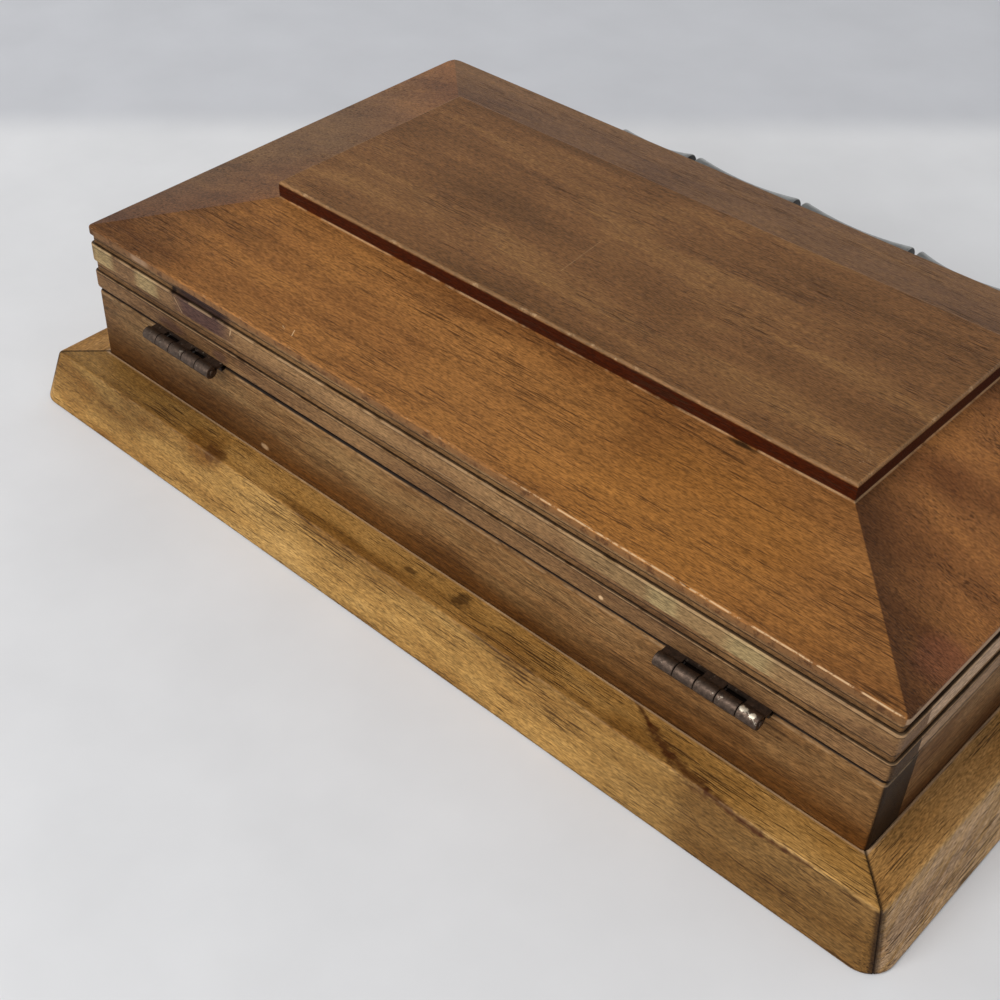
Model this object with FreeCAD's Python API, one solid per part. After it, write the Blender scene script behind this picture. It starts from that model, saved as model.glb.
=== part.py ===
import FreeCAD, Part
import math
import os

# Hinged wooden trinket box: a mitred plinth, a body of butted boards, a raised and fielded lid board
# on a grooved rim, two butt hinges at the back and a bamboo pattern pull at the front of the lid.
# Millimetres, +Z up, front towards -Y, origin on the table under the middle of the plinth.

# Lid and body outlines
lid_length = 238.0
lid_width = 136.0
parting_height = 34.5
parting_gap = 0.4
front_corner_round = 3.5
back_corner_round = 1.5

# Body boards
body_inset = 0.4
wall_thickness = 11.7
body_foot_height = 3.0
body_top_round = 1.0

# Bottom panel held in a groove of the body boards, and the felt laid on it
bottom_height = 5.5
bottom_thickness = 4.0
bottom_groove_depth = 4.0
bottom_fit = 0.1
felt_thickness = 1.6
felt_margin = 0.3

# Plinth moulding, measured outwards from the body's faces
plinth_height = 14.3
plinth_ledge = 9.8
plinth_foot_reach = 15.2
plinth_corner_round = 3.0
plinth_inner_round = 1.0
plinth_arris_round = 0.9
plinth_foot_round = 0.8

# Lid rim, its bands and grooves from the lower edge upwards
rim_thickness = 10.0
lower_band = 5.4
low_groove = 3.2
low_groove_depth = 0.7
middle_band = 4.9
high_groove = 2.7
high_groove_depth = 0.8
rim_foot_round = 1.2
inner_edge_round = 0.5

# Raised lid board
lip_height = 2.1
lip_round = 0.5
field_inset = 35.0
field_rise = 12.3
shoulder_height = 4.4
field_round = 0.6

# Butt hinges
hinge_length = 25.0
hinge_end_distance = 25.7
barrel_radius = 1.7
barrel_standoff = 1.7
notch_depth = 1.3
knuckle_count = 5
knuckle_gap = 0.15
pin_radius = 0.8
pin_fit = 0.05
pin_end = 0.3
leaf_thickness = 0.9
leaf_depth = 8.5
leaf_gap = 0.3
leaf_fit = 0.1

# Hinge screws
screw_radius = 0.95
screw_length = 8.0
screw_tip = 1.6
screw_tip_radius = 0.2
screw_head_radius = 1.75
screw_head_height = 0.8
screw_slot_width = 0.5
screw_slot_depth = 0.4
screw_end_distance = 5.7
screw_setback = 4.5
screw_fit = 0.05
screw_hole_spare = 0.5

# Bamboo pattern pull
pull_standoff = 8.4
pull_drop = 0.9
pull_node_spacing = 35.0
pull_node_gap = 2.4
pull_node_radius = 3.8
pull_waist_radius = 2.5
pull_core_radius = 1.9
pull_end_length = 24.0
pull_end_radius = 2.9
pull_end_waist_radius = 2.2
pull_rim_bevel = 0.5
post_spacing = 96.0
post_base_radius = 2.4
post_neck_radius = 1.9

# Screws that hold the pull
pull_screw_radius = 1.25
pull_screw_engagement = 6.0
pull_screw_head_radius = 2.4
pull_screw_crown_radius = 1.7
pull_screw_head_height = 2.0
pull_screw_rim_height = 1.0
pull_screw_slot_width = 0.8
pull_screw_slot_depth = 0.9
pull_screw_fit = 0.05
pull_hole_fit = 0.1

# Spare length that lets a cutting shape run out past the wood
cut_margin = 1.0
level_tolerance = 0.001

# Heights and places that follow from the sizes above
body_top = parting_height - parting_gap / 2
rim_bottom = parting_height + parting_gap / 2
rim_top = rim_bottom + lower_band + low_groove + middle_band + high_groove
lid_arris = rim_top + lip_height
field_top = lid_arris + field_rise
body_half_length = lid_length / 2 - body_inset
body_half_width = lid_width / 2 - body_inset
hinge_axis_y = lid_width / 2 + barrel_radius + barrel_standoff
pull_axis_y = -lid_width / 2 - pull_standoff
pull_axis_z = rim_bottom + lower_band + low_groove + middle_band / 2 - pull_drop
x_axis = FreeCAD.Vector(1, 0, 0)
y_axis = FreeCAD.Vector(0, 1, 0)
z_axis = FreeCAD.Vector(0, 0, 1)
side_names = ["front", "right", "back", "left"]
side_turns = {side: i * 360 / len(side_names) for i, side in enumerate(side_names)}


def corner_arc(before, corner, after, radius):
    """The arc that rounds a corner between two straight runs, as start, middle and end points."""
    to_before = (before - corner).normalize()
    to_after = (after - corner).normalize()
    half_angle = to_before.getAngle(to_after) / 2
    inward = (to_before + to_after).normalize()
    run = radius / math.tan(half_angle)
    middle = corner + inward * (radius / math.sin(half_angle) - radius)
    return corner + to_before * run, middle, corner + to_after * run


def outline_face(corners):
    """A face from corners given as (point, radius), with each corner of some radius rounded."""
    count = len(corners)
    edges = []
    ends = []
    for i, (corner, radius) in enumerate(corners):
        if radius == 0:
            ends.append((corner, corner))
            continue
        start, middle, end = corner_arc(corners[i - 1][0], corner, corners[(i + 1) % count][0], radius)
        edges.append(Part.Arc(start, middle, end).toShape())
        ends.append((start, end))
    for i in range(count):
        edges.append(Part.LineSegment(ends[i][1], ends[(i + 1) % count][0]).toShape())
    return Part.Face(Part.Wire(Part.__sortEdges__(edges)))


def block(length, width, low, high):
    """A rectangular block centred on the Z axis between two heights."""
    return Part.makeBox(length, width, high - low, FreeCAD.Vector(-length / 2, -width / 2, low))


def side_run(section, half_run, half_depth, turn):
    """A section of (outward, height) corners run along one side, a margin past its ends."""
    reach = half_run + cut_margin
    corners = [(FreeCAD.Vector(-reach, -half_depth - out, height), 0) for out, height in section]
    run = outline_face(corners).extrude(x_axis * 2 * reach)
    run.rotate(FreeCAD.Vector(), z_axis, turn)
    return run


def mitre_wedge(half_run, half_depth, turn):
    """The part of the plan that one side of the mitred plinth owns, as a prism."""
    outer = plinth_foot_reach + cut_margin
    inner = -cut_margin
    plan = [(-half_run - outer, outer), (half_run + outer, outer),
            (half_run + inner, inner), (-half_run - inner, inner)]
    corners = [(FreeCAD.Vector(x, -half_depth - out, -cut_margin), 0) for x, out in plan]
    wedge = outline_face(corners).extrude(z_axis * (plinth_height + 2 * cut_margin))
    wedge.rotate(FreeCAD.Vector(), z_axis, turn)
    return wedge


def side_halves(side, half_length, half_width):
    """Half the run of a side, and how far its face stands from the middle."""
    if side in ("front", "back"):
        return half_length, half_width
    return half_width, half_length


def plan_face(half_length, half_width, front_round, back_round, height):
    """A level rectangle, its two front and two back corners rounded alike."""
    plan = [(-half_length, -half_width, front_round), (half_length, -half_width, front_round),
            (half_length, half_width, back_round), (-half_length, half_width, back_round)]
    return outline_face([(FreeCAD.Vector(x, y, height), radius) for x, y, radius in plan])


def rounded_block(inset, low, high):
    """The lid's outline set in by some depth, as a block between two heights."""
    plan = plan_face(lid_length / 2 - inset, lid_width / 2 - inset,
                     front_corner_round - inset, back_corner_round - inset, low)
    return plan.extrude(z_axis * (high - low))


def butted_boards(ring, joint):
    """Four boards cut from a ring: the front and back run to the corners, the ends stand between."""
    box = ring.BoundBox
    room = block(box.XLength + cut_margin, 2 * joint, box.ZMin - cut_margin, box.ZMax + cut_margin)
    left, right = sorted(ring.common(room).Solids, key=lambda board: board.CenterOfMass.x)
    front, back = sorted(ring.cut(room).Solids, key=lambda board: board.CenterOfMass.y)
    return {"front": front, "right": right, "back": back, "left": left}


def edges_at_height(shape, height):
    """The edges that lie level at one height."""
    return [edge for edge in shape.Edges
            if abs(edge.BoundBox.ZMin - height) < level_tolerance
            and abs(edge.BoundBox.ZMax - height) < level_tolerance]


def opening_edges(shape, height, half_length, half_width):
    """The level edges at one height round an opening of that half size."""
    return [edge for edge in edges_at_height(shape, height)
            if max(abs(edge.BoundBox.XMin), abs(edge.BoundBox.XMax)) < half_length + level_tolerance
            and max(abs(edge.BoundBox.YMin), abs(edge.BoundBox.YMax)) < half_width + level_tolerance]


def plinth_ring():
    """The moulding round the foot, whole: a level ledge, a face that leans out and softened edges."""
    foot = plan_face(body_half_length + plinth_foot_reach, body_half_width + plinth_foot_reach, 0, 0, 0)
    ledge = plan_face(body_half_length + plinth_ledge, body_half_width + plinth_ledge, 0, 0, plinth_height)
    ring = Part.makeLoft([foot.OuterWire, ledge.OuterWire], True, True)
    corner_edges = [edge for edge in ring.Edges if edge.BoundBox.ZLength > plinth_height / 2]
    ring = ring.makeFillet(plinth_corner_round, corner_edges)
    ring = ring.makeFillet(plinth_arris_round, edges_at_height(ring, plinth_height))
    ring = ring.makeFillet(plinth_foot_round, edges_at_height(ring, 0))
    ring = ring.cut(rounded_block(body_inset, -cut_margin, plinth_height + cut_margin))
    inner_edges = opening_edges(ring, plinth_height, body_half_length, body_half_width)
    return ring.makeFillet(plinth_inner_round, inner_edges)


def plinth_sides():
    """The moulding cut into its four mitred sides."""
    ring = plinth_ring()
    sides = {}
    for side, turn in side_turns.items():
        half_run, half_depth = side_halves(side, body_half_length, body_half_width)
        sides[side] = ring.common(mitre_wedge(half_run, half_depth, turn))
    return sides


def body_sides():
    """The four walls, with a groove inside for the bottom panel."""
    inner_length = body_half_length - wall_thickness
    inner_width = body_half_width - wall_thickness
    walls = rounded_block(body_inset, body_foot_height, body_top)
    walls = walls.makeFillet(body_top_round, edges_at_height(walls, body_top))
    walls = walls.cut(block(2 * inner_length, 2 * inner_width,
                            body_foot_height - cut_margin, body_top + cut_margin))
    walls = walls.makeFillet(inner_edge_round, opening_edges(walls, body_top, inner_length, inner_width))
    groove = block(2 * (inner_length + bottom_groove_depth), 2 * (inner_width + bottom_groove_depth),
                   bottom_height - bottom_fit, bottom_height + bottom_thickness + bottom_fit)
    boards = butted_boards(walls.cut(groove), inner_width)
    boards["back"] = boards["back"].cut(hinge_seats(-1))
    return boards


def rim_sides():
    """The lid's rim: two bands, with a square groove run round it above each."""
    low_groove_foot = rim_bottom + lower_band
    middle_foot = low_groove_foot + low_groove
    middle_top = middle_foot + middle_band
    levels = [
        (0, rim_bottom, low_groove_foot),
        (low_groove_depth, low_groove_foot, middle_foot),
        (0, middle_foot, middle_top),
        (high_groove_depth, middle_top, rim_top),
    ]
    bands = [rounded_block(depth, low, high) for depth, low, high in levels]
    rim = bands[0].fuse(bands[1:]).removeSplitter()
    rim = rim.makeFillet(rim_foot_round, edges_at_height(rim, rim_bottom))
    inner_length = lid_length / 2 - rim_thickness
    inner_width = lid_width / 2 - rim_thickness
    rim = rim.cut(block(2 * inner_length, 2 * inner_width, rim_bottom - cut_margin, rim_top + cut_margin))
    rim = rim.makeFillet(inner_edge_round, opening_edges(rim, rim_bottom, inner_length, inner_width))
    rails = butted_boards(rim, inner_width)
    rails["back"] = rails["back"].cut(hinge_seats(1))
    rails["front"] = rails["front"].cut(pull_screw_holes())
    return rails


def lid_board():
    """One thick board raised along its four edges: a lip, a slope and a shoulder round the field."""
    board = block(lid_length, lid_width, rim_top, field_top)
    slope = (field_rise - shoulder_height) / field_inset
    cutter = [
        (-field_inset, field_top + cut_margin),
        (-field_inset, field_top - shoulder_height),
        (cut_margin, lid_arris - slope * cut_margin),
        (cut_margin, field_top + cut_margin),
    ]
    for side, turn in side_turns.items():
        half_run, half_depth = side_halves(side, lid_length / 2, lid_width / 2)
        board = board.cut(side_run(cutter, half_run, half_depth, turn))
    board = board.makeFillet(lip_round, edges_at_height(board, lid_arris))
    board = board.makeFillet(field_round, edges_at_height(board, field_top))
    return board.common(rounded_block(0, rim_top, field_top))


def bottom_panel():
    """The bottom, a little smaller than the grooves that hold it."""
    reach = bottom_groove_depth - wall_thickness - bottom_fit
    length = 2 * (body_half_length + reach)
    width = 2 * (body_half_width + reach)
    return block(length, width, bottom_height, bottom_height + bottom_thickness)


def floor_felt():
    """The felt that lines the floor of the box."""
    low = bottom_height + bottom_thickness
    length = 2 * (body_half_length - wall_thickness - felt_margin)
    width = 2 * (body_half_width - wall_thickness - felt_margin)
    return block(length, width, low, low + felt_thickness)


def hinge_centres():
    """Where the two hinges stand along the back."""
    reach = lid_length / 2 - hinge_end_distance - hinge_length / 2
    return {"left": -reach, "right": reach}


def hinge_screw_points(centre):
    """The two screws of one leaf, as plan points."""
    y = lid_width / 2 - screw_setback
    reach = hinge_length / 2 - screw_end_distance
    return [FreeCAD.Vector(centre + shift, y, 0) for shift in (-reach, reach)]


def knuckle_spans(centre):
    """Start and end of each knuckle of a hinge along its pin."""
    length = (hinge_length - (knuckle_count - 1) * knuckle_gap) / knuckle_count
    starts = [centre - hinge_length / 2 + i * (length + knuckle_gap) for i in range(knuckle_count)]
    return [(start, start + length) for start in starts]


def barrel(radius, start, end):
    """A round bar on the hinge axis."""
    foot = FreeCAD.Vector(start, hinge_axis_y, parting_height)
    return Part.makeCylinder(radius, end - start, foot, x_axis)


def knuckle_room(start, end):
    """The notch in a leaf that leaves room for a knuckle of the other leaf."""
    depth = barrel_radius + notch_depth
    corner = FreeCAD.Vector(start - knuckle_gap, hinge_axis_y - depth, parting_height - barrel_radius)
    return Part.makeBox(end - start + 2 * knuckle_gap, depth + barrel_radius, 2 * barrel_radius, corner)


def leaf_plate(centre, side, spare, thickness):
    """A flat plate from the hinge axis into the wood; side is 1 in the lid and -1 in the body."""
    inner = lid_width / 2 - leaf_depth - spare
    low = min(side * leaf_gap / 2, side * (leaf_gap / 2 + thickness))
    corner = FreeCAD.Vector(centre - hinge_length / 2 - spare, inner, parting_height + low)
    return Part.makeBox(hinge_length + 2 * spare, hinge_axis_y - inner, thickness, corner)


def screw_shape(point, way, radius, head_radius):
    """A countersunk screw's form, pointing along Z; way is the sign of its direction."""
    direction = z_axis * way
    head = Part.makeCone(head_radius, radius, screw_head_height, point, direction)
    shank_length = screw_length - screw_tip
    shank = Part.makeCylinder(radius, shank_length, point, direction)
    tip = Part.makeCone(radius, screw_tip_radius, screw_tip, point + direction * shank_length, direction)
    return head.fuse([shank, tip]).removeSplitter()


def leaf_face_height(side):
    """Height of the face of a leaf that meets the other leaf."""
    return parting_height + side * leaf_gap / 2


def leaf_holes(centre, side):
    """Countersunk holes for the two screws of a leaf."""
    height = z_axis * leaf_face_height(side)
    return [screw_shape(point + height, side, screw_radius + screw_fit, screw_head_radius + screw_fit)
            for point in hinge_screw_points(centre)]


def pilot_holes(centre, side):
    """Plain holes in the wood under the two screws of a leaf."""
    height = z_axis * leaf_face_height(side)
    return [Part.makeCylinder(screw_radius + screw_fit, screw_length + screw_hole_spare, point + height,
                              z_axis * side) for point in hinge_screw_points(centre)]


def hinge_leaf(centre, side):
    """A leaf with its rolled knuckles, room for the other leaf's and two countersunk holes."""
    leaf = leaf_plate(centre, side, 0, leaf_thickness)
    spans = knuckle_spans(centre)
    for i, (start, end) in enumerate(spans):
        if (i % 2 == 0) != (side > 0):
            leaf = leaf.cut(knuckle_room(start, end))
    for i, (start, end) in enumerate(spans):
        if (i % 2 == 0) == (side > 0):
            leaf = leaf.fuse(barrel(barrel_radius, start, end))
    bore = barrel(pin_radius + pin_fit, spans[0][0] - cut_margin, spans[-1][1] + cut_margin)
    return leaf.cut([bore] + leaf_holes(centre, side)).removeSplitter()


def hinge_pin(centre):
    """The pin, its ends standing a little out of the barrel."""
    return barrel(pin_radius, centre - hinge_length / 2 - pin_end, centre + hinge_length / 2 + pin_end)


def hinge_seats(side):
    """Recesses for both leaves of one side, with the holes for their screws."""
    cuts = []
    for centre in hinge_centres().values():
        cuts.append(leaf_plate(centre, side, leaf_fit, leaf_thickness))
        cuts.append(leaf_plate(centre, -side, leaf_fit, leaf_thickness))
        cuts.extend(pilot_holes(centre, side))
    return cuts


def hinge_screws(side):
    """The slotted screws of both leaves of one side."""
    screws = []
    height = z_axis * leaf_face_height(side)
    for centre in hinge_centres().values():
        for point in hinge_screw_points(centre):
            head = point + height
            slot_low = min(0, side * screw_slot_depth)
            corner = head + FreeCAD.Vector(-screw_head_radius, -screw_slot_width / 2, slot_low)
            slot = Part.makeBox(2 * screw_head_radius, screw_slot_width, screw_slot_depth, corner)
            screws.append(screw_shape(head, side, screw_radius, screw_head_radius).cut(slot))
    return Part.makeCompound(screws)


def pull_segment(start, end, start_radius, waist_radius, end_radius):
    """One waisted length of the pull, turned about its axis, with bevelled rims."""
    def at(x, radius):
        return FreeCAD.Vector(x, pull_axis_y, pull_axis_z + radius)

    soft = pull_rim_bevel
    edges = [
        Part.LineSegment(at(start, 0), at(start, start_radius - soft)),
        Part.LineSegment(at(start, start_radius - soft), at(start + soft, start_radius)),
        Part.Arc(at(start + soft, start_radius), at((start + end) / 2, waist_radius),
                 at(end - soft, end_radius)),
        Part.LineSegment(at(end - soft, end_radius), at(end, end_radius - soft)),
        Part.LineSegment(at(end, end_radius - soft), at(end, 0)),
        Part.LineSegment(at(end, 0), at(start, 0)),
    ]
    face = Part.Face(Part.Wire([edge.toShape() for edge in edges]))
    return face.revolve(at(0, 0), x_axis)


def pull_post_points():
    """Where the two posts of the pull stand on the rim."""
    return [FreeCAD.Vector(x, -lid_width / 2, pull_axis_z) for x in (-post_spacing / 2, post_spacing / 2)]


def pull_handle():
    """Four waisted lengths on a core, carried by two posts that are tapped for screws."""
    half_gap = pull_node_gap / 2
    node = pull_node_spacing
    tip = node + half_gap + pull_end_length
    segments = [
        pull_segment(-tip, -node - half_gap, pull_end_radius, pull_end_waist_radius, pull_node_radius),
        pull_segment(-node + half_gap, -half_gap, pull_node_radius, pull_waist_radius, pull_node_radius),
        pull_segment(half_gap, node - half_gap, pull_node_radius, pull_waist_radius, pull_node_radius),
        pull_segment(node + half_gap, tip, pull_node_radius, pull_end_waist_radius, pull_end_radius),
    ]
    core_end = FreeCAD.Vector(-node - pull_node_gap, pull_axis_y, pull_axis_z)
    core = Part.makeCylinder(pull_core_radius, 2 * (node + pull_node_gap), core_end, x_axis)
    posts = [Part.makeCone(post_base_radius, post_neck_radius, pull_standoff, point, -y_axis)
             for point in pull_post_points()]
    tapped = [Part.makeCylinder(pull_screw_radius + pull_screw_fit, pull_screw_engagement + pull_screw_fit,
                                point, -y_axis) for point in pull_post_points()]
    return core.fuse(segments + posts).removeSplitter().cut(tapped)


def pull_screw_holes():
    """Clear holes through the front rail for the pull's screws."""
    return [Part.makeCylinder(pull_screw_radius + pull_hole_fit, rim_thickness + 2 * cut_margin,
                              point - y_axis * cut_margin, y_axis) for point in pull_post_points()]


def pull_screws():
    """Slotted screws from inside the rim into the posts."""
    screws = []
    for point in pull_post_points():
        seat = point + y_axis * rim_thickness
        shank = Part.makeCylinder(pull_screw_radius, rim_thickness + pull_screw_engagement, seat, -y_axis)
        rim = Part.makeCylinder(pull_screw_head_radius, pull_screw_rim_height, seat, y_axis)
        crown = Part.makeCone(pull_screw_head_radius, pull_screw_crown_radius,
                              pull_screw_head_height - pull_screw_rim_height,
                              seat + y_axis * pull_screw_rim_height, y_axis)
        slot_floor = pull_screw_head_height - pull_screw_slot_depth
        corner = seat + FreeCAD.Vector(-pull_screw_head_radius, slot_floor, -pull_screw_slot_width / 2)
        slot = Part.makeBox(2 * pull_screw_head_radius, pull_screw_slot_depth,
                            pull_screw_slot_width, corner)
        screws.append(shank.fuse([rim, crown]).removeSplitter().cut(slot))
    return Part.makeCompound(screws)


def all_pieces():
    """Every piece of the box by its name."""
    pieces = {}
    pieces.update({"plinth_" + side: shape for side, shape in plinth_sides().items()})
    pieces.update({"body_" + side: shape for side, shape in body_sides().items()})
    pieces.update({"lid_rail_" + side: shape for side, shape in rim_sides().items()})
    pieces["lid_board"] = lid_board()
    pieces["bottom_panel"] = bottom_panel()
    pieces["floor_felt"] = floor_felt()
    for name, centre in hinge_centres().items():
        pieces["hinge_" + name + "_body_leaf"] = hinge_leaf(centre, -1)
        pieces["hinge_" + name + "_lid_leaf"] = hinge_leaf(centre, 1)
        pieces["hinge_" + name + "_pin"] = hinge_pin(centre)
    pieces["hinge_body_screws"] = hinge_screws(-1)
    pieces["hinge_lid_screws"] = hinge_screws(1)
    pieces["pull_handle"] = pull_handle()
    pieces["pull_screws"] = pull_screws()
    return pieces


os.makedirs("parts", exist_ok=True)
for piece_name, piece_shape in all_pieces().items():
    piece_shape.exportStep("parts/" + piece_name + ".step")
    print(piece_name, len(piece_shape.Solids), round(piece_shape.Volume, 1), piece_shape.isValid())
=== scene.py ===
import math

import bmesh
import bpy
from bpy.props import FloatProperty, FloatVectorProperty, IntProperty, PointerProperty
from bpy.types import Operator, Panel, PropertyGroup
from mathutils import Matrix, Vector, noise


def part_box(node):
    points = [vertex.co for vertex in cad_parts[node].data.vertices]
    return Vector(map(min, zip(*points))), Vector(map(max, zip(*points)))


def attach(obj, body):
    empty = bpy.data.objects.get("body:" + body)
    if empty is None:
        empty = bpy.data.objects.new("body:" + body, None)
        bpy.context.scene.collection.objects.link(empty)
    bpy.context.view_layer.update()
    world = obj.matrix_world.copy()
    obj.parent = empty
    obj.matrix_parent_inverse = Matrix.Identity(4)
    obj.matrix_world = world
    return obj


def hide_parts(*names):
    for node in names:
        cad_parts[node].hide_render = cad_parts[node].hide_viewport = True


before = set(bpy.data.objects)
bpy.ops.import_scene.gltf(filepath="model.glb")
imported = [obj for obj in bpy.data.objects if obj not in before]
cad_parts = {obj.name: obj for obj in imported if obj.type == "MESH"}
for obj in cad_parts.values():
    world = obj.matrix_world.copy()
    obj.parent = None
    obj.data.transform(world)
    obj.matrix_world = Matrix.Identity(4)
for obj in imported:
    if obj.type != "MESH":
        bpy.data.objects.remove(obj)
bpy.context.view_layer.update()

bl_info = {
    "name": "Trinket Box",
    "version": (1, 0, 0),
    "blender": (4, 5, 0),
    "location": "3D View > Sidebar > Trinket Box",
    "description": "Dresses a hinged trinket box in worn stained wood, aged bronze and pewter",
    "category": "Object",
}

MM = 0.001
NEAR = 0.02 * MM
ALONG_X, ALONG_Y = 0, 1
SHARP_ANGLE = math.radians(40)
FOLD_ANGLE = math.radians(8)
BROAD_FACE = 150 * MM * MM
CORNER_STEPS = 8
EDGE_STEPS = 4
ROUND_STEPS = 40
FELT_CELL = 4 * MM
FELT_WAVE_RUN = 15 * MM


def linear(code):
    """An sRGB hex colour as linear red, green, blue and alpha."""
    shares = [int(code[i:i + 2], 16) / 255 for i in (1, 3, 5)]
    return tuple(s / 12.92 if s <= 0.04045 else ((s + 0.055) / 1.055) ** 2.4 for s in shares) + (1.0,)


def length(label, text, size):
    """A length property in metres."""
    return FloatProperty(name=label, description=text, default=size, min=0.0, unit="LENGTH", precision=5)


def colour(label, text, code):
    """A colour property from an sRGB hex value."""
    return FloatVectorProperty(name=label, description=text, default=linear(code), size=4,
                               min=0.0, max=1.0, subtype="COLOR")


class TrinketBoxSizes(PropertyGroup):
    """Sizes of the box's looks that its solids don't give"""
    plinth_ledge: length("Plinth ledge", "Width of the level top of the plinth", 9.8 * MM)
    plinth_foot_corner: length("Plinth foot corner", "Rounding of the corners on the table", 6.5 * MM)
    plinth_ledge_corner: length("Plinth ledge corner", "Rounding of the corners at the ledge", 1.2 * MM)
    plinth_arris: length("Plinth arris", "Rounding between ledge and face", 0.9 * MM)
    plinth_foot: length("Plinth foot", "Rounding along the foot", 0.8 * MM)
    plinth_inner: length("Plinth inner edge", "Rounding beside the body", 0.35 * MM)
    mitre_bevel: length("Mitre bevel", "Opening of the mitre joints", 0.2 * MM)
    front_corner: length("Front corner", "Rounding of the lid's upright front corners", 3.5 * MM)
    back_corner: length("Back corner", "Rounding of the lid's upright back corners", 1.5 * MM)
    wall: length("Body wall", "Thickness of the body boards", 11.7 * MM)
    body_top: length("Body top edge", "Rounding of the body's outer top edge", 1.0 * MM)
    inner_edge: length("Inner edge", "Rounding of the boards' inner edges", 0.5 * MM)
    panel_fit: length("Panel fit", "Room round the bottom in its groove", 0.1 * MM)
    rim_wall: length("Rim wall", "Thickness of the lid rails", 10.0 * MM)
    lower_band: length("Lower band", "Height of the lid's lowest band", 5.4 * MM)
    low_groove: length("Low groove", "Height of the lower groove", 3.2 * MM)
    low_groove_depth: length("Low groove depth", "Depth of the lower groove", 0.7 * MM)
    middle_band: length("Middle band", "Height of the middle band", 4.9 * MM)
    high_groove_depth: length("High groove depth", "Depth of the groove under the lid board", 0.8 * MM)
    rim_foot: length("Rim foot", "Rounding of the lid's lowest edge", 1.2 * MM)
    groove_draft: length("Groove draft", "Fall of the grooves' ledges over their depth", 0.05 * MM)
    band_arris: length("Band arris", "Softening of the bands' edges", 0.25 * MM)
    lip: length("Lip", "Height of the lid board's upright edge", 2.1 * MM)
    lip_arris: length("Lip arris", "Rounding of the lid board's edge", 0.5 * MM)
    field_inset: length("Field inset", "Width of the slope round the field", 35.0 * MM)
    shoulder: length("Shoulder", "Height of the step round the field", 4.4 * MM)
    field_arris: length("Field arris", "Rounding of the field's edge", 0.6 * MM)
    barrel: length("Barrel radius", "Radius of the hinge knuckles", 1.7 * MM)
    knuckle_edge: length("Knuckle edge", "Rounding of a knuckle's ends", 0.2 * MM)
    knuckle_gap: length("Knuckle gap", "Gap between two knuckles", 0.15 * MM)
    notch: length("Notch", "Room in a leaf behind the other leaf's knuckles", 1.3 * MM)
    leaf: length("Leaf thickness", "Thickness of a hinge leaf", 0.9 * MM)
    leaf_fit: length("Leaf fit", "Room round a leaf in its seat", 0.1 * MM)
    pin: length("Pin radius", "Radius of the hinge pins", 0.8 * MM)
    pin_end: length("Pin end", "Length of a pin's end outside the barrel", 0.3 * MM)
    screw_head: length("Screw head radius", "Radius of the hinge screws' heads", 1.75 * MM)
    screw_shank: length("Screw shank radius", "Radius of the hinge screws", 0.95 * MM)
    screw_setback: length("Screw setback", "Distance of the hinge screws from the back", 4.5 * MM)
    screw_end: length("Screw end distance", "Distance of the hinge screws from a hinge's end", 5.7 * MM)
    node_spacing: length("Node spacing", "Distance between the pull's nodes", 35.0 * MM)
    node_gap: length("Node gap", "Width of the groove at a node", 2.4 * MM)
    node_radius: length("Node radius", "Radius beside a node", 3.8 * MM)
    waist_radius: length("Waist radius", "Radius halfway between nodes", 2.5 * MM)
    core_radius: length("Core radius", "Radius in the groove of a node", 1.9 * MM)
    tip_length: length("Tip length", "Length of the pull's outer lengths", 24.0 * MM)
    tip_radius: length("Tip radius", "Radius at the pull's ends", 2.9 * MM)
    tip_waist: length("Tip waist radius", "Radius halfway along an outer length", 2.2 * MM)
    rim_round: length("Pull rim", "Rounding of the pull's rims", 0.5 * MM)
    post_spacing: length("Post spacing", "Distance between the pull's posts", 96.0 * MM)
    post_base: length("Post base radius", "Radius of a post on the lid", 2.4 * MM)
    post_neck: length("Post neck radius", "Radius of a post under the bar", 1.9 * MM)
    felt_wave: length("Felt wave", "Unevenness of the felt's surface", 0.12 * MM)
    knuckles: IntProperty(name="Knuckles", description="Knuckles of one hinge", default=5, min=3)


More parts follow.
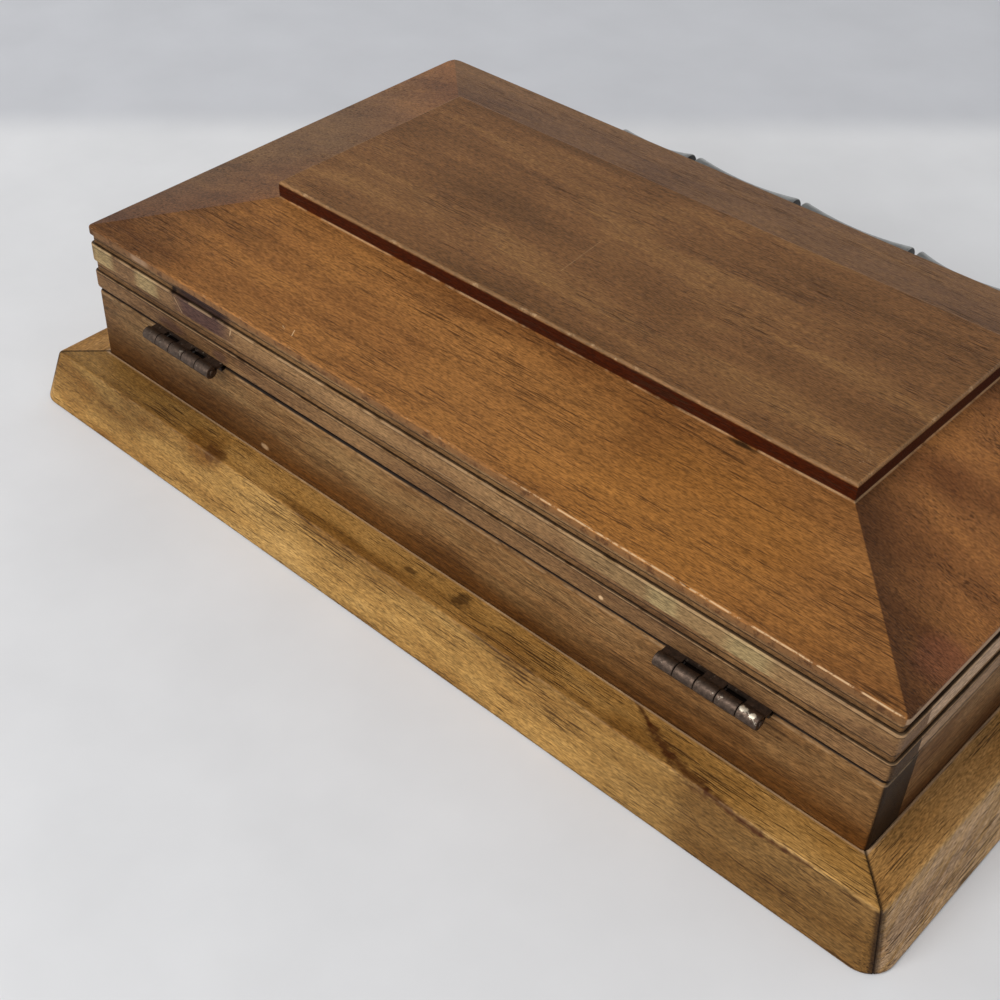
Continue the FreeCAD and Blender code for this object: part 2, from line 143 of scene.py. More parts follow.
class TrinketBoxColours(PropertyGroup):
    """Colours of the box's materials"""
    slope_dark: colour("Slope dark", "Darkest stain of the lid's slopes", "#663e1d")
    slope_mid: colour("Slope middle", "Main tone of the lid's slopes", "#87592e")
    slope_light: colour("Slope light", "Lightest stain of the lid's slopes", "#9d6a36")
    field_dark: colour("Field dark", "Darkest stain of the lid's field", "#5c3d1f")
    field_mid: colour("Field middle", "Main tone of the lid's field", "#76502d")
    field_light: colour("Field light", "Lightest stain of the lid's field", "#8d653a")
    step: colour("Step", "Dark polish on the step round the field", "#3a1302")
    gold_patch: colour("Golden patch", "Golden stain on the lid's back slope", "#9a6428")
    # Painted reflection: a reddish sheen painted on the left end's slope.
    red_reflection: colour("Red patch", "Reddish patch on the lid's end", "#8c5538")
    rim_dark: colour("Rim dark", "Darkest streaks of the lid rails", "#4c3220")
    rim_mid: colour("Rim middle", "Main tone of the lid rails", "#775838")
    rim_light: colour("Rim light", "Lightest streaks of the lid rails", "#8f6e48")
    body_dark: colour("Body dark", "Darkest streaks of the body", "#4a2808")
    body_mid: colour("Body middle", "Main tone of the body", "#785733")
    body_light: colour("Body light", "Lightest streaks of the body", "#8e6f46")
    plinth_dark: colour("Plinth dark", "Darkest streaks of the plinth", "#6b4519")
    plinth_mid: colour("Plinth middle", "Main tone of the plinth", "#9d7740")
    plinth_light: colour("Plinth light", "Lightest streaks of the plinth", "#b48f56")
    pore: colour("Pores", "Stain held in the wood's pores", "#331c0a")
    # Besides real dirt in the mitres and dents, this colour is painted shade: in the grooves, the parting
    # gap, the hinge notches, on the end grain and as a contact shadow along the plinth's foot.
    grime_and_shade: colour("Grime", "Old polish and dirt in grooves and joints", "#140b06")
    knot: colour("Knot", "Reddish dark streak in the plinth", "#3f1c08")
    end_wood: colour("End grain", "Stain soaked into end grain", "#22150e")
    # Besides real wear, this colour paints highlights: the pale line along the plinth's inner edge and the
    # broken pale line on the body's top edge.
    rubbed_and_highlight: colour("Rubbed wood", "Wood where the stain is rubbed off", "#d9b488")
    pale_patch: colour("Pale patch", "Yellow patches where the finish wore through", "#9c8a60")
    # Besides real grey dirt in patches and in the plinth's end grain, this colour paints sheen and
    # highlights: the paler, greyer end bands and lip, and the pale line along the plinth's inner edge.
    bruise: colour("Bruise", "Purple dark patch on the rim", "#46302b")
    dust_and_sheen: colour("Dust", "Grey dust rubbed into the wood", "#b3967a")
    bronze: colour("Bronze", "Darkened bronze of the hinges", "#4a3c32")
    # Besides real wear, this colour paints glints: a broken bright line along the knuckles' crest and bright
    # spots on one end knuckle.
    worn_bronze_and_glint: colour("Worn bronze", "Bronze rubbed bright", "#e0d2bc")
    pewter: colour("Pewter", "Grey metal of the pull", "#9a9b98")
    pewter_dark: colour("Dark pewter", "Tarnish in the pull's grooves", "#262422")
    brass: colour("Brass", "Screw heads", "#9a7b3c")
    steel: colour("Steel", "Screws of the pull", "#8f8f8d")
    felt: colour("Felt", "Lining of the floor", "#3d1a1c")
    ply: colour("Plywood", "Bottom panel", "#b08c5c")
    floor: colour("Floor", "Pale paper the box stands on", "#e6e6e7")
    floor_far: colour("Far floor", "Paper away from the light", "#cfd0d4")


def add(tree, kind, *by_place, settings=None, **by_name):
    """Add a shader node: settings are the node's own, the rest fill its inputs with values or links."""
    node = tree.nodes.new("ShaderNode" + kind)
    for name, value in (settings or {}).items():
        setattr(node, name, value)
    filled = [(node.inputs[i], value) for i, value in enumerate(by_place)]
    filled += [(node.inputs[name.replace("_", " ")], value) for name, value in by_name.items()]
    for socket, value in filled:
        if isinstance(value, bpy.types.Node):
            tree.links.new(value.outputs[0], socket)
        elif isinstance(value, bpy.types.NodeSocket):
            tree.links.new(value, socket)
        else:
            socket.default_value = value
    return node


def new_material(name):
    """An empty material with its node tree and the coordinates its patterns use."""
    material = bpy.data.materials.new(name)
    material.use_nodes = True
    tree = material.node_tree
    tree.nodes.clear()
    return material, tree, add(tree, "TexCoord")


def finish_material(tree, base, roughness, height, depth, **values):
    """Close a node tree with a shader; depth is the real height in metres of the pattern's bumps."""
    bump = add(tree, "Bump", Height=height, Distance=depth, Strength=1.0)
    shader = add(tree, "BsdfPrincipled", Base_Color=base, Roughness=roughness, Normal=bump, **values)
    add(tree, "OutputMaterial", shader)


def finish_wood(tree, base, height, depth):
    """Close a wood's node tree: old wax, worn to a low and uneven gloss."""
    roughness = add(tree, "MapRange", height, From_Min=-0.2, From_Max=0.8, To_Min=0.62, To_Max=0.45)
    finish_material(tree, base, roughness, height, depth, Specular_IOR_Level=0.1)


def marks(tree, place, along, run, width, **texture):
    """Noise drawn out into marks of that run along the grain and that width across it."""
    scale = [1 / width] * 3
    scale[along] = 1 / run
    drawn_out = add(tree, "Mapping", place.outputs["Object"], Scale=scale)
    return add(tree, "TexNoise", drawn_out, Scale=1.0, **texture)


def varied(tree, base, pattern, usual, brightness):
    """Multiply a colour by a pattern, its usual range turned into a range of brightness."""
    amount = add(tree, "MapRange", pattern, From_Min=usual[0], From_Max=usual[1],
                 To_Min=brightness[0], To_Max=brightness[1])
    return add(tree, "MixRGB", 1.0, base, amount, settings={"blend_type": "MULTIPLY"})


def stained(tree, place, along, dark, middle, light):
    """Stain that took unevenly: clouds between three tones, drawn out along the grain."""
    cloud = marks(tree, place, along, 60 * MM, 14 * MM, Detail=5.0, Roughness=0.65, Distortion=0.3)
    tone = add(tree, "ValToRGB", cloud)
    ramp = tone.color_ramp.elements
    ramp[0].position, ramp[0].color = 0.26, dark
    ramp[1].position, ramp[1].color = 0.74, light
    ramp.new(0.5).color = middle
    return tone


def grained(tree, place, along, base, streaks, fibres, flecks, pore_tone):
    """Colour and height of open grain: long streaks, fine fibres and dark flecks of stain in the pores."""
    streak = marks(tree, place, along, 80 * MM, 1.6 * MM, Detail=5.0, Roughness=0.6, Distortion=0.4)
    streaked = varied(tree, base, streak, (0.3, 0.7), (1 - streaks, 1 + streaks))
    # Real fibres are under 0.1 mm wide, too fine to show, so they are drawn coarser.
    fibre = marks(tree, place, along, 1.5 * MM, 0.27 * MM, Detail=1.5, Roughness=0.6, Distortion=0.2)
    fibred = varied(tree, streaked, fibre, (0.32, 0.68), (1 - fibres, 1 + fibres))
    dash = marks(tree, place, along, 9 * MM, 0.32 * MM, Detail=2.0, Roughness=0.5, Distortion=0.2)
    crowd = marks(tree, place, along, 30 * MM, 9 * MM, Detail=3.0)
    crowded = add(tree, "Math", crowd, 0.5, dash, settings={"operation": "MULTIPLY_ADD"})
    fleck = add(tree, "MapRange", crowded, From_Min=0.84, From_Max=0.96, To_Max=flecks)
    flecked = add(tree, "MixRGB", fleck, fibred, pore_tone)
    sunk = add(tree, "Math", fibre, fleck, settings={"operation": "SUBTRACT"})
    return flecked, sunk


def past_sides(tree, place, half_length, half_width):
    """Distances in plan past the ends and past the sides of a rectangle round the box's middle."""
    reaches = []
    across = add(tree, "SeparateXYZ", place.outputs["Object"]).outputs
    for axis, half in zip(across, (half_length, half_width)):
        away = add(tree, "Math", axis, settings={"operation": "ABSOLUTE"})
        reaches.append(add(tree, "Math", away, half, settings={"operation": "SUBTRACT"}))
    return reaches


def outline_distance(tree, place, half_length, half_width):
    """Distance outwards in plan from a rectangle round the box's middle, negative inside it."""
    reaches = past_sides(tree, place, half_length, half_width)
    return add(tree, "Math", *reaches, settings={"operation": "MAXIMUM"})


def hip_distance(tree, place, half_length, half_width):
    """Distance in plan across a rectangle's mitre lines, positive towards its two ends."""
    reaches = past_sides(tree, place, half_length, half_width)
    return add(tree, "Math", *reaches, settings={"operation": "SUBTRACT"})


def between(tree, value, low, high, soft):
    """A mask that is one where a value lies between two limits, with soft ends."""
    rising = add(tree, "MapRange", value, From_Min=low - soft, From_Max=low + soft)
    falling = add(tree, "MapRange", value, From_Min=high + soft, From_Max=high - soft)
    return add(tree, "Math", rising, falling, settings={"operation": "MULTIPLY"})


def broken(tree, place, run, share):
    """A ragged mask that lets a share of a mark through in stretches of about that run."""
    patches = add(tree, "TexNoise", place.outputs["Object"], Scale=1 / run, Detail=4.0, Roughness=0.7)
    return add(tree, "MapRange", patches, From_Min=0.7 - 0.4 * share, From_Max=0.8 - 0.4 * share)


def overlaid(tree, base, tint, strength, *masks):
    """Lay a tint over a colour where all the masks allow it."""
    mask = strength
    for part in masks:
        mask = add(tree, "Math", mask, part, settings={"operation": "MULTIPLY"})
    return add(tree, "MixRGB", mask, base, tint)


def dimmed(tree, base, share, *masks):
    """Dim a colour where all the masks allow it; share is what stays of its red, green and blue."""
    dim = add(tree, "MixRGB", 1.0, base, (*share, 1.0), settings={"blend_type": "MULTIPLY"})
    return overlaid(tree, base, dim, 1.0, *masks)


def spot(tree, place, centre, reach, ragged=0.5):
    """A soft, ragged mask round one place; reach is its half size along X, Y and Z, all in millimetres."""
    offset = add(tree, "VectorMath", place.outputs["Object"], Vector(centre) * MM,
                 settings={"operation": "SUBTRACT"})
    shares = add(tree, "VectorMath", offset, Vector(reach) * MM, settings={"operation": "DIVIDE"})
    away = add(tree, "VectorMath", shares, settings={"operation": "LENGTH"}).outputs["Value"]
    rough = add(tree, "TexNoise", place.outputs["Object"], Scale=1 / (0.5 * max(reach) * MM), Detail=4.0)
    uneven = add(tree, "Math", rough, 2 * ragged, away, settings={"operation": "MULTIPLY_ADD"})
    return add(tree, "MapRange", uneven, settings={"interpolation_type": "SMOOTHSTEP"},
               From_Min=1.0 + ragged, From_Max=0.4 + ragged)


def scratch(tree, place, start, end, width):
    """A mask along a straight line between two places, in millimetres."""
    line = (Vector(end) - Vector(start)) * MM
    way = line.normalized()
    offset = add(tree, "VectorMath", place.outputs["Object"], Vector(start) * MM,
                 settings={"operation": "SUBTRACT"})
    along = add(tree, "VectorMath", offset, way, settings={"operation": "DOT_PRODUCT"}).outputs["Value"]
    held = add(tree, "Clamp", along, 0.0, line.length)
    foot = add(tree, "VectorMath", way, Scale=held, settings={"operation": "SCALE"})
    away = add(tree, "VectorMath", offset, foot, settings={"operation": "DISTANCE"}).outputs["Value"]
    wander = add(tree, "TexNoise", place.outputs["Object"], Scale=1 / (1.5 * MM), Detail=3.0)
    uneven = add(tree, "Math", wander, width * MM, away, settings={"operation": "MULTIPLY_ADD"})
    return add(tree, "MapRange", uneven, From_Min=1.1 * width * MM, From_Max=0.6 * width * MM)


def edge_line(tree, across, height, level, reach):
    """A mask within reach of a level edge, from the distances across it and over the table."""
    over = add(tree, "Math", height, level, settings={"operation": "SUBTRACT"})
    pair = add(tree, "CombineXYZ", across, over)
    away = add(tree, "VectorMath", pair, settings={"operation": "LENGTH"}).outputs["Value"]
    return add(tree, "MapRange", away, settings={"interpolation_type": "SMOOTHSTEP"},
               From_Min=reach, From_Max=reach / 3)


def facing(tree, place, axis, way, least, full):
    """A mask of faces that look along an axis, rising from a least to a full share; way is the sign."""
    direction = add(tree, "SeparateXYZ", place.outputs["Normal"]).outputs[axis]
    turned_to = add(tree, "Math", direction, way, settings={"operation": "MULTIPLY"})
    return add(tree, "MapRange", turned_to, From_Min=least, From_Max=full)


def plain_inside(tree, place, along, base, tones, pore_tone, inside):
    """Lay plain stained wood, without the marks of the outside, over a colour where a mask allows it."""
    wood, _ = grained(tree, place, along, stained(tree, place, along, *tones), 0.16, 0.3, 0.5, pore_tone)
    return overlaid(tree, base, wood, 1.0, inside)


def lid_parts(tree, place, half_length, half_width):
    """Masks of the lid board in plan: its ends, its sides, its halves and what lies by the hips."""
    x, y, _ = add(tree, "SeparateXYZ", place.outputs["Object"]).outputs
    hip = hip_distance(tree, place, half_length, half_width)
    ends = add(tree, "MapRange", hip, From_Min=-0.2 * MM, From_Max=0.2 * MM)
    return {
        "ends": ends,
        "sides": add(tree, "Math", 1.0, ends, settings={"operation": "SUBTRACT"}),
        "back": add(tree, "MapRange", y, From_Min=-MM, From_Max=MM),
        "front": add(tree, "MapRange", y, From_Min=MM, From_Max=-MM),
        "left": add(tree, "MapRange", x, From_Min=MM, From_Max=-MM),
        "right": add(tree, "MapRange", x, From_Min=-MM, From_Max=MM),
        "rubbed_run": add(tree, "MapRange", x, From_Min=-20 * MM, From_Max=-36 * MM),
        "past_hip": add(tree, "MapRange", hip, From_Max=45 * MM),
        "near_hip": add(tree, "MapRange", hip, From_Min=45 * MM, From_Max=0.0),
        "beside_hip": add(tree, "MapRange", hip, From_Min=24 * MM, From_Max=2 * MM),
    }


def lid_slopes(tree, place, colours, parts):
    """Golden slopes: painted sheen and shade make the right end and the front duller and greyer, a painted
    red reflection lies on the left end, and the left end is dark beside its hips.
    """
    ends = parts["ends"]
    slopes = stained(tree, place, ALONG_X, colours.slope_dark, colours.slope_mid, colours.slope_light)
    slopes = overlaid(tree, slopes, colours.gold_patch, 0.45, spot(tree, place, (-56, 56, 56), (52, 24, 30)))
    slopes = overlaid(tree, slopes, colours.slope_light, 0.5, spot(tree, place, (-10, 50, 57), (36, 18, 20)))
    slopes = dimmed(tree, slopes, (0.68, 0.7, 0.8), parts["back"],
                    spot(tree, place, (118, 56, 56), (50, 44, 30)))
    slopes = dimmed(tree, slopes, (0.98, 0.94, 1.0), ends, parts["left"])
    # Painted sheen: the right end's slope is painted greyer and bluer away from its hip, and browner near the
    # hip where it meets the back slope.
    slopes = dimmed(tree, slopes, (0.7, 0.82, 1.0), ends, parts["right"], parts["past_hip"])
    slopes = dimmed(tree, slopes, (0.85, 0.77, 0.66), ends, parts["right"], parts["near_hip"])
    # Painted sheen and shade: the front slope is painted duller and greyer.
    slopes = dimmed(tree, slopes, (0.72, 0.76, 0.76), parts["sides"], parts["front"])
    # Painted reflection: a reddish sheen on the left end's slope.
    slopes = overlaid(tree, slopes, colours.red_reflection, 0.65, ends,
                      spot(tree, place, (-116, 51.5, 54), (7, 9, 8), 0.2))
    slopes = dimmed(tree, slopes, (0.4, 0.4, 0.46), ends, parts["left"], parts["beside_hip"])
    return overlaid(tree, slopes, colours.pore, 0.2, spot(tree, place, (81, 46, 58), (10, 5, 6)))


def worn_lip_with_sheen(tree, place, base, colours, parts, height, edge, slope_foot):
    """The lid board's upright edge: grey brown, dirty in places, painted paler with sheen at the left end,
    under a worn arris.
    """
    on_lip = add(tree, "MapRange", height, From_Min=slope_foot - 0.3 * MM, From_Max=slope_foot - 0.6 * MM)
    base = overlaid(tree, base, colours.rim_mid, 0.75, on_lip)
    # Painted sheen: the lip at the left end is painted paler and greyer.
    base = overlaid(tree, base, colours.dust_and_sheen, 0.6, on_lip, parts["ends"], parts["left"])
    base = dimmed(tree, base, (0.94, 0.89, 0.86), on_lip, parts["sides"])
    base = dimmed(tree, base, (0.5, 0.45, 0.45), on_lip, parts["sides"], broken(tree, place, 4 * MM, 0.5))
    arris = edge_line(tree, edge, height, slope_foot, 0.38 * MM)
    base = overlaid(tree, base, colours.rubbed_and_highlight, 0.9, arris, broken(tree, place, 3 * MM, 0.7),
                    parts["rubbed_run"], parts["back"], parts["sides"])
    base = overlaid(tree, base, colours.rubbed_and_highlight, 0.4, arris, broken(tree, place, 4 * MM, 0.35))
    return overlaid(tree, base, colours.dust_and_sheen, 0.35, on_lip, spot(tree, place, (98, 68, 52), (4.5, 3, 3), 0.2))


def worn_field(tree, place, base, colours, height, rim, top, step_foot):
    """Rubbed edges of the field and its step, a dent and scratches."""
    arris = edge_line(tree, rim, height, top - 0.1 * MM, 0.8 * MM)
    base = overlaid(tree, base, colours.rubbed_and_highlight, 0.12, arris)
    base = overlaid(tree, base, colours.rubbed_and_highlight, 0.4, arris, broken(tree, place, 4 * MM, 0.3))
    foot = edge_line(tree, rim, height, step_foot, 0.45 * MM)
    base = overlaid(tree, base, colours.rubbed_and_highlight, 0.4, foot, broken(tree, place, 16 * MM, 0.7))
    base = overlaid(tree, base, colours.grime_and_shade, 0.85,
                    spot(tree, place, (-57.5, 33.6, 60.9), (5, 0.9, 0.7), 0.3))
    base = overlaid(tree, base, colours.rubbed_and_highlight, 0.35, spot(tree, place, (-79, 25, 65.3), (6, 8, 1)),
                    broken(tree, place, 0.5 * MM, 0.25))
    for strength, start, end in ((0.15, (7, 15, 65.3), (8.5, -1, 65.3)),
                                 (0.8, (49, 64, 54), (48, 64.4, 53.9)),
                                 (0.8, (45.5, 63.5, 54), (44.8, 65, 53.7))):
        base = overlaid(tree, base, colours.rubbed_and_highlight, strength, scratch(tree, place, start, end, 0.3))
    return base


def lid_hardwood(sizes, colours):
    """Stained fine pored hardwood, planed and waxed: golden slopes, cloudy field, dark step, worn arrises."""
    material, tree, place = new_material("stained_hardwood_lid_board")
    low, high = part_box("lid_board")
    slope_foot = low.z + sizes.lip
    step_foot = high.z - sizes.shoulder
    height = add(tree, "SeparateXYZ", place.outputs["Object"]).outputs["Z"]
    parts = lid_parts(tree, place, high.x, high.y)
    on_step = add(tree, "MapRange", height, From_Min=step_foot, From_Max=step_foot + 0.3 * MM)
    base = overlaid(tree, lid_slopes(tree, place, colours, parts), colours.step, 1.0, on_step)
    field = stained(tree, place, ALONG_X, colours.field_dark, colours.field_mid, colours.field_light)
    on_field = add(tree, "MapRange", height, From_Min=high.z - 1.0 * MM, From_Max=high.z - 0.7 * MM)
    base = overlaid(tree, base, field, 1.0, on_field)
    base, bumps = grained(tree, place, ALONG_X, base, 0.14, 0.4, 0.7, colours.pore)
    edge = outline_distance(tree, place, high.x, high.y)
    base = worn_lip_with_sheen(tree, place, base, colours, parts, height, edge, slope_foot)
    rim = outline_distance(tree, place, high.x - sizes.field_inset, high.y - sizes.field_inset)
    base = worn_field(tree, place, base, colours, height, rim, high.z, step_foot)
    tones = (colours.slope_dark, colours.slope_mid, colours.slope_light)
    underneath = facing(tree, place, "Z", -1.0, 0.6, 0.9)
    base = plain_inside(tree, place, ALONG_X, base, tones, colours.pore, underneath)
    finish_wood(tree, base, bumps, 0.07 * MM)
    return material


def rail_patches(tree, place, base, colours, height, middle_foot, on_middle):
    """Yellow worn patches and a purple bruise along the back rail's bands."""
    base = dimmed(tree, base, (0.8, 0.8, 0.82), spot(tree, place, (110, 68, 42), (60, 40, 40)))
    base = overlaid(tree, base, colours.pale_patch, 0.2, on_middle,
                    spot(tree, place, (-70, 68, 46), (34, 12, 12)))
    for centre, reach in ((114, 6), (96, 6), (-65.5, 5), (-86, 7)):
        base = overlaid(tree, base, colours.pale_patch, 0.5, on_middle,
                        spot(tree, place, (centre, 68, 45.5), (reach, 12, 12), 0.15))
    above = add(tree, "MapRange", height, From_Min=middle_foot, From_Max=middle_foot + 0.4 * MM)
    base = overlaid(tree, base, colours.bruise, 0.95, above,
                    spot(tree, place, (75, 68, 48), (14, 20, 20), 0.1))
    for centre, reach in ((88, 7), (69, 4)):
        base = overlaid(tree, base, colours.bruise, 0.6,
                        spot(tree, place, (centre, 68, 37.2), (reach, 3, 2.2), 0.3))
    return base


def rail_marks(tree, place, base, colours, height, middle_top, on_lower, on_middle):
    """Dark end grain, from stain drawn into it and painted shade, a faint painted sheen on it, dents and
    scratches of the back rail.
    """
    # Painted shade darkens the end grain of the lower band on top of its stain, most at the left end; a faint
    # painted sheen pales it on the middle band.
    for way, soak_and_shade in ((-1.0, 0.7), (1.0, 0.5)):
        ends = facing(tree, place, "X", way, 0.45, 0.75)
        base = overlaid(tree, base, colours.dust_and_sheen, 0.1, ends, on_middle)
        base = overlaid(tree, base, colours.grime_and_shade, soak_and_shade, ends, on_lower)
    base = overlaid(tree, base, colours.rubbed_and_highlight, 0.4,
                    scratch(tree, place, (85, 68, 47.2), (82.4, 68, 43.8), 0.35))
    base = overlaid(tree, base, colours.grime_and_shade, 0.9, spot(tree, place, (85.4, 68, 48.8), (1.3, 3, 1.3), 0.2))
    under_board = add(tree, "MapRange", height, From_Min=middle_top - 0.6 * MM, From_Max=middle_top)
    base = overlaid(tree, base, colours.grime_and_shade, 0.5, under_board,
                    spot(tree, place, (76, 68, 49), (15, 20, 20), 0.3))
    base = overlaid(tree, base, colours.rubbed_and_highlight, 0.5,
                    scratch(tree, place, (63.6, 68, 47.5), (64.2, 68, 45.8), 0.5))
    return overlaid(tree, base, colours.rubbed_and_highlight, 0.8, spot(tree, place, (-51, 68, 36.8), (0.8, 1, 0.7), 0.2))


def dirty_shaded_grooves(tree, place, base, colours, height, outer, levels):
    """Painted shade in the two grooves, dirt and painted shade on their ledges, and worn, scored edges of the
    bands beside them.
    """
    groove_foot, middle_foot, middle_top = levels
    sunken = add(tree, "MapRange", outer, From_Min=-0.1 * MM, From_Max=-0.3 * MM)
    # Painted shade: each groove's wall is dimmed and a painted shadow line lies under the band above; the
    # ledge is painted dark with dirt and shade.
    for foot, line in ((groove_foot, groove_foot + 1.4 * MM), (middle_top, middle_top + 1.15 * MM)):
        base = dimmed(tree, base, (0.8, 0.76, 0.7), sunken, between(tree, height, foot, line, 0.1 * MM))
        base = overlaid(tree, base, colours.grime_and_shade, 0.8, sunken,
                        between(tree, height, line, line + 0.3 * MM, 0.06 * MM))
        base = overlaid(tree, base, colours.grime_and_shade, 0.9, sunken,
                        between(tree, height, foot - 0.1 * MM, foot + 0.15 * MM, 0.05 * MM))
    for edge, below in ((groove_foot, 0.35 * MM), (middle_top, 0.8 * MM)):
        scored = edge - below
        base = overlaid(tree, base, colours.rubbed_and_highlight, 0.25, broken(tree, place, 9 * MM, 0.7),
                        between(tree, height, scored + 0.2 * MM, edge, 0.05 * MM))
        base = overlaid(tree, base, colours.grime_and_shade, 0.6,
                        between(tree, height, scored - 0.12 * MM, scored + 0.12 * MM, 0.08 * MM))
    return overlaid(tree, base, colours.rubbed_and_highlight, 0.3, broken(tree, place, 7 * MM, 0.45),
                    between(tree, height, middle_foot + 0.1 * MM, middle_foot + 0.35 * MM, 0.1 * MM))


def rail_hardwood(sizes, colours, along):
    """The same hardwood in narrow rails: dirt and painted shade on the grooves' ledges, bands worn yellow in
    patches and painted grey with sheen at the ends, a painted shadow along the parting line.
    """
    material, tree, place = new_material("stained_hardwood_rail_along_" + "xy"[along])
    low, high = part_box("lid_rail_back")
    x, _, height = add(tree, "SeparateXYZ", place.outputs["Object"]).outputs
    groove_foot = low.z + sizes.lower_band
    middle_foot = groove_foot + sizes.low_groove
    middle_top = middle_foot + sizes.middle_band
    on_lower = between(tree, height, low.z - MM, groove_foot, 0.1 * MM)
    on_middle = between(tree, height, middle_foot, middle_top, 0.1 * MM)
    tones = (colours.rim_dark, colours.rim_mid, colours.rim_light)
    base = dimmed(tree, stained(tree, place, along, *tones), (0.92, 0.9, 0.88), on_lower)
    if along == ALONG_X:
        base = rail_patches(tree, place, base, colours, height, middle_foot, on_middle)
    else:
        # Painted sheen: the end rails' bands are painted paler and greyer, most at the left end.
        end_sheen = add(tree, "MapRange", x, From_Min=MM, From_Max=-MM, To_Min=0.45)
        base = overlaid(tree, base, colours.dust_and_sheen, 0.85, on_middle, end_sheen)
        base = overlaid(tree, base, colours.dust_and_sheen, 0.38, on_lower, end_sheen)
    base, bumps = grained(tree, place, along, base, 0.16, 0.4, 0.6, colours.pore)
    if along == ALONG_X:
        base = rail_marks(tree, place, base, colours, height, middle_top, on_lower, on_middle)
    outer = outline_distance(tree, place, high.x, high.y)
    levels = (groove_foot, middle_foot, middle_top)
    base = dirty_shaded_grooves(tree, place, base, colours, height, outer, levels)
    # Painted shadow of the parting gap along the rim's foot, taller on the end rails.
    parting_shade = 0.55 * MM if along == ALONG_X else 1.35 * MM
    base = overlaid(tree, base, colours.grime_and_shade, 0.9,
                    between(tree, height, low.z - MM, low.z + parting_shade, 0.08 * MM))
    inside = add(tree, "MapRange", outer, From_Min=-2.0 * MM, From_Max=-3.5 * MM)
    base = plain_inside(tree, place, along, base, tones, colours.pore, inside)
    finish_wood(tree, base, bumps, 0.07 * MM)
    return material


def body_hardwood(colours, along):
    """The body's boards: brown, with painted shade towards the plinth, on the end boards and in the gap under
    the lid.
    """
    material, tree, place = new_material("stained_hardwood_body_along_" + "xy"[along])
    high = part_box("body_back")[1]
    plinth_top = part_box("plinth_back")[1].z
    height = add(tree, "SeparateXYZ", place.outputs["Object"]).outputs["Z"]
    tones = (colours.body_dark, colours.body_mid, colours.body_light)
    # Painted shade: darker towards the plinth.
    shade_near_plinth = add(tree, "MapRange", height, From_Min=plinth_top + 13 * MM, From_Max=plinth_top + 2 * MM,
                   To_Max=0.85)
    base = overlaid(tree, stained(tree, place, along, *tones), colours.body_dark, shade_near_plinth)
    if along == ALONG_X:
        base = dimmed(tree, base, (0.66, 0.66, 0.7), spot(tree, place, (118, 67, 26), (80, 50, 50), 0.3))
    else:
        # Painted shade: the end boards are painted darker.
        base = dimmed(tree, base, (0.8, 0.76, 0.8))
    base, bumps = grained(tree, place, along, base, 0.36, 0.4, 0.6, colours.pore)
    if along == ALONG_X:
        # Painted shade on the end grain, on top of its stain, most at the left end.
        for way, soak_and_shade in ((-1.0, 0.9), (1.0, 0.65)):
            base = overlaid(tree, base, colours.grime_and_shade, soak_and_shade, facing(tree, place, "X", way, 0.45, 0.75))
        base = overlaid(tree, base, colours.rubbed_and_highlight, 0.4,
                        spot(tree, place, (55, 67.6, 16.8), (1.8, 1, 1.1), 0.2))
    # Painted highlight with wear: a broken pale line on the top edge's rounding.
    top_edge = between(tree, height, high.z - 1.1 * MM, high.z - 0.6 * MM, 0.2 * MM)
    base = overlaid(tree, base, colours.rubbed_and_highlight, 0.2, top_edge, broken(tree, place, 12 * MM, 0.7))
    # Painted shadow in the gap under the lid, wider where the gap opens.
    base = overlaid(tree, base, colours.grime_and_shade, 0.95,
                    between(tree, height, high.z - 0.3 * MM, high.z + MM, 0.06 * MM))
    if along == ALONG_X:
        open_run = spot(tree, place, (34, 67.5, 34), (60, 20, 20), 0.1)
        base = overlaid(tree, base, colours.grime_and_shade, 0.95, open_run,
                        between(tree, height, high.z - 0.55 * MM, high.z + MM, 0.1 * MM))
    outer = outline_distance(tree, place, high.x, high.y)
    inside = add(tree, "MapRange", outer, From_Min=-2.0 * MM, From_Max=-3.5 * MM)
    base = plain_inside(tree, place, along, base, tones, colours.pore, inside)
    finish_wood(tree, base, bumps, 0.07 * MM)
    return material


def plinth_stains(tree, place, base, colours, on_face, on_ledge):
    """Darker stain along the back length: on its ledge, towards its ends and in clouds round its knots."""
    base = dimmed(tree, base, (0.95, 0.87, 0.77), on_ledge)
    base = dimmed(tree, base, (0.75, 0.78, 0.82), spot(tree, place, (110, 72, 14), (50, 16, 16)))
    base = dimmed(tree, base, (0.42, 0.37, 0.34), on_face, spot(tree, place, (-112, 80, 7), (56, 24, 24)))
    base = overlaid(tree, base, colours.plinth_dark, 0.6, on_ledge,
                    spot(tree, place, (-68, 76, 14.3), (12, 4, 3)))
    for strength, centre, reach in ((0.7, (22, 76, 14.3), (28, 3, 3)), (0.8, (69, 76, 14), (10, 7, 8)),
                                    (0.5, (122, 79, 8), (16, 8, 9))):
        base = overlaid(tree, base, colours.plinth_dark, strength, spot(tree, place, centre, reach))
    return base


def plinth_ribs(tree, place, base, colours, on_face):
    """Pale slanted ribs that dust leaves in the grain of the end lengths' faces."""
    slanted = add(tree, "Mapping", place.outputs["Object"], settings={"vector_type": "TEXTURE"},
                  Rotation=(-0.33, 0.0, 0.0), Scale=(9 * MM, 9 * MM, 0.6 * MM))
    ribs = add(tree, "TexNoise", slanted, Scale=1.0, Detail=2.0)
    strength = add(tree, "MapRange", ribs, From_Min=0.35, From_Max=0.65, To_Min=0.15, To_Max=0.7)
    return overlaid(tree, base, colours.dust_and_sheen, strength, on_face)


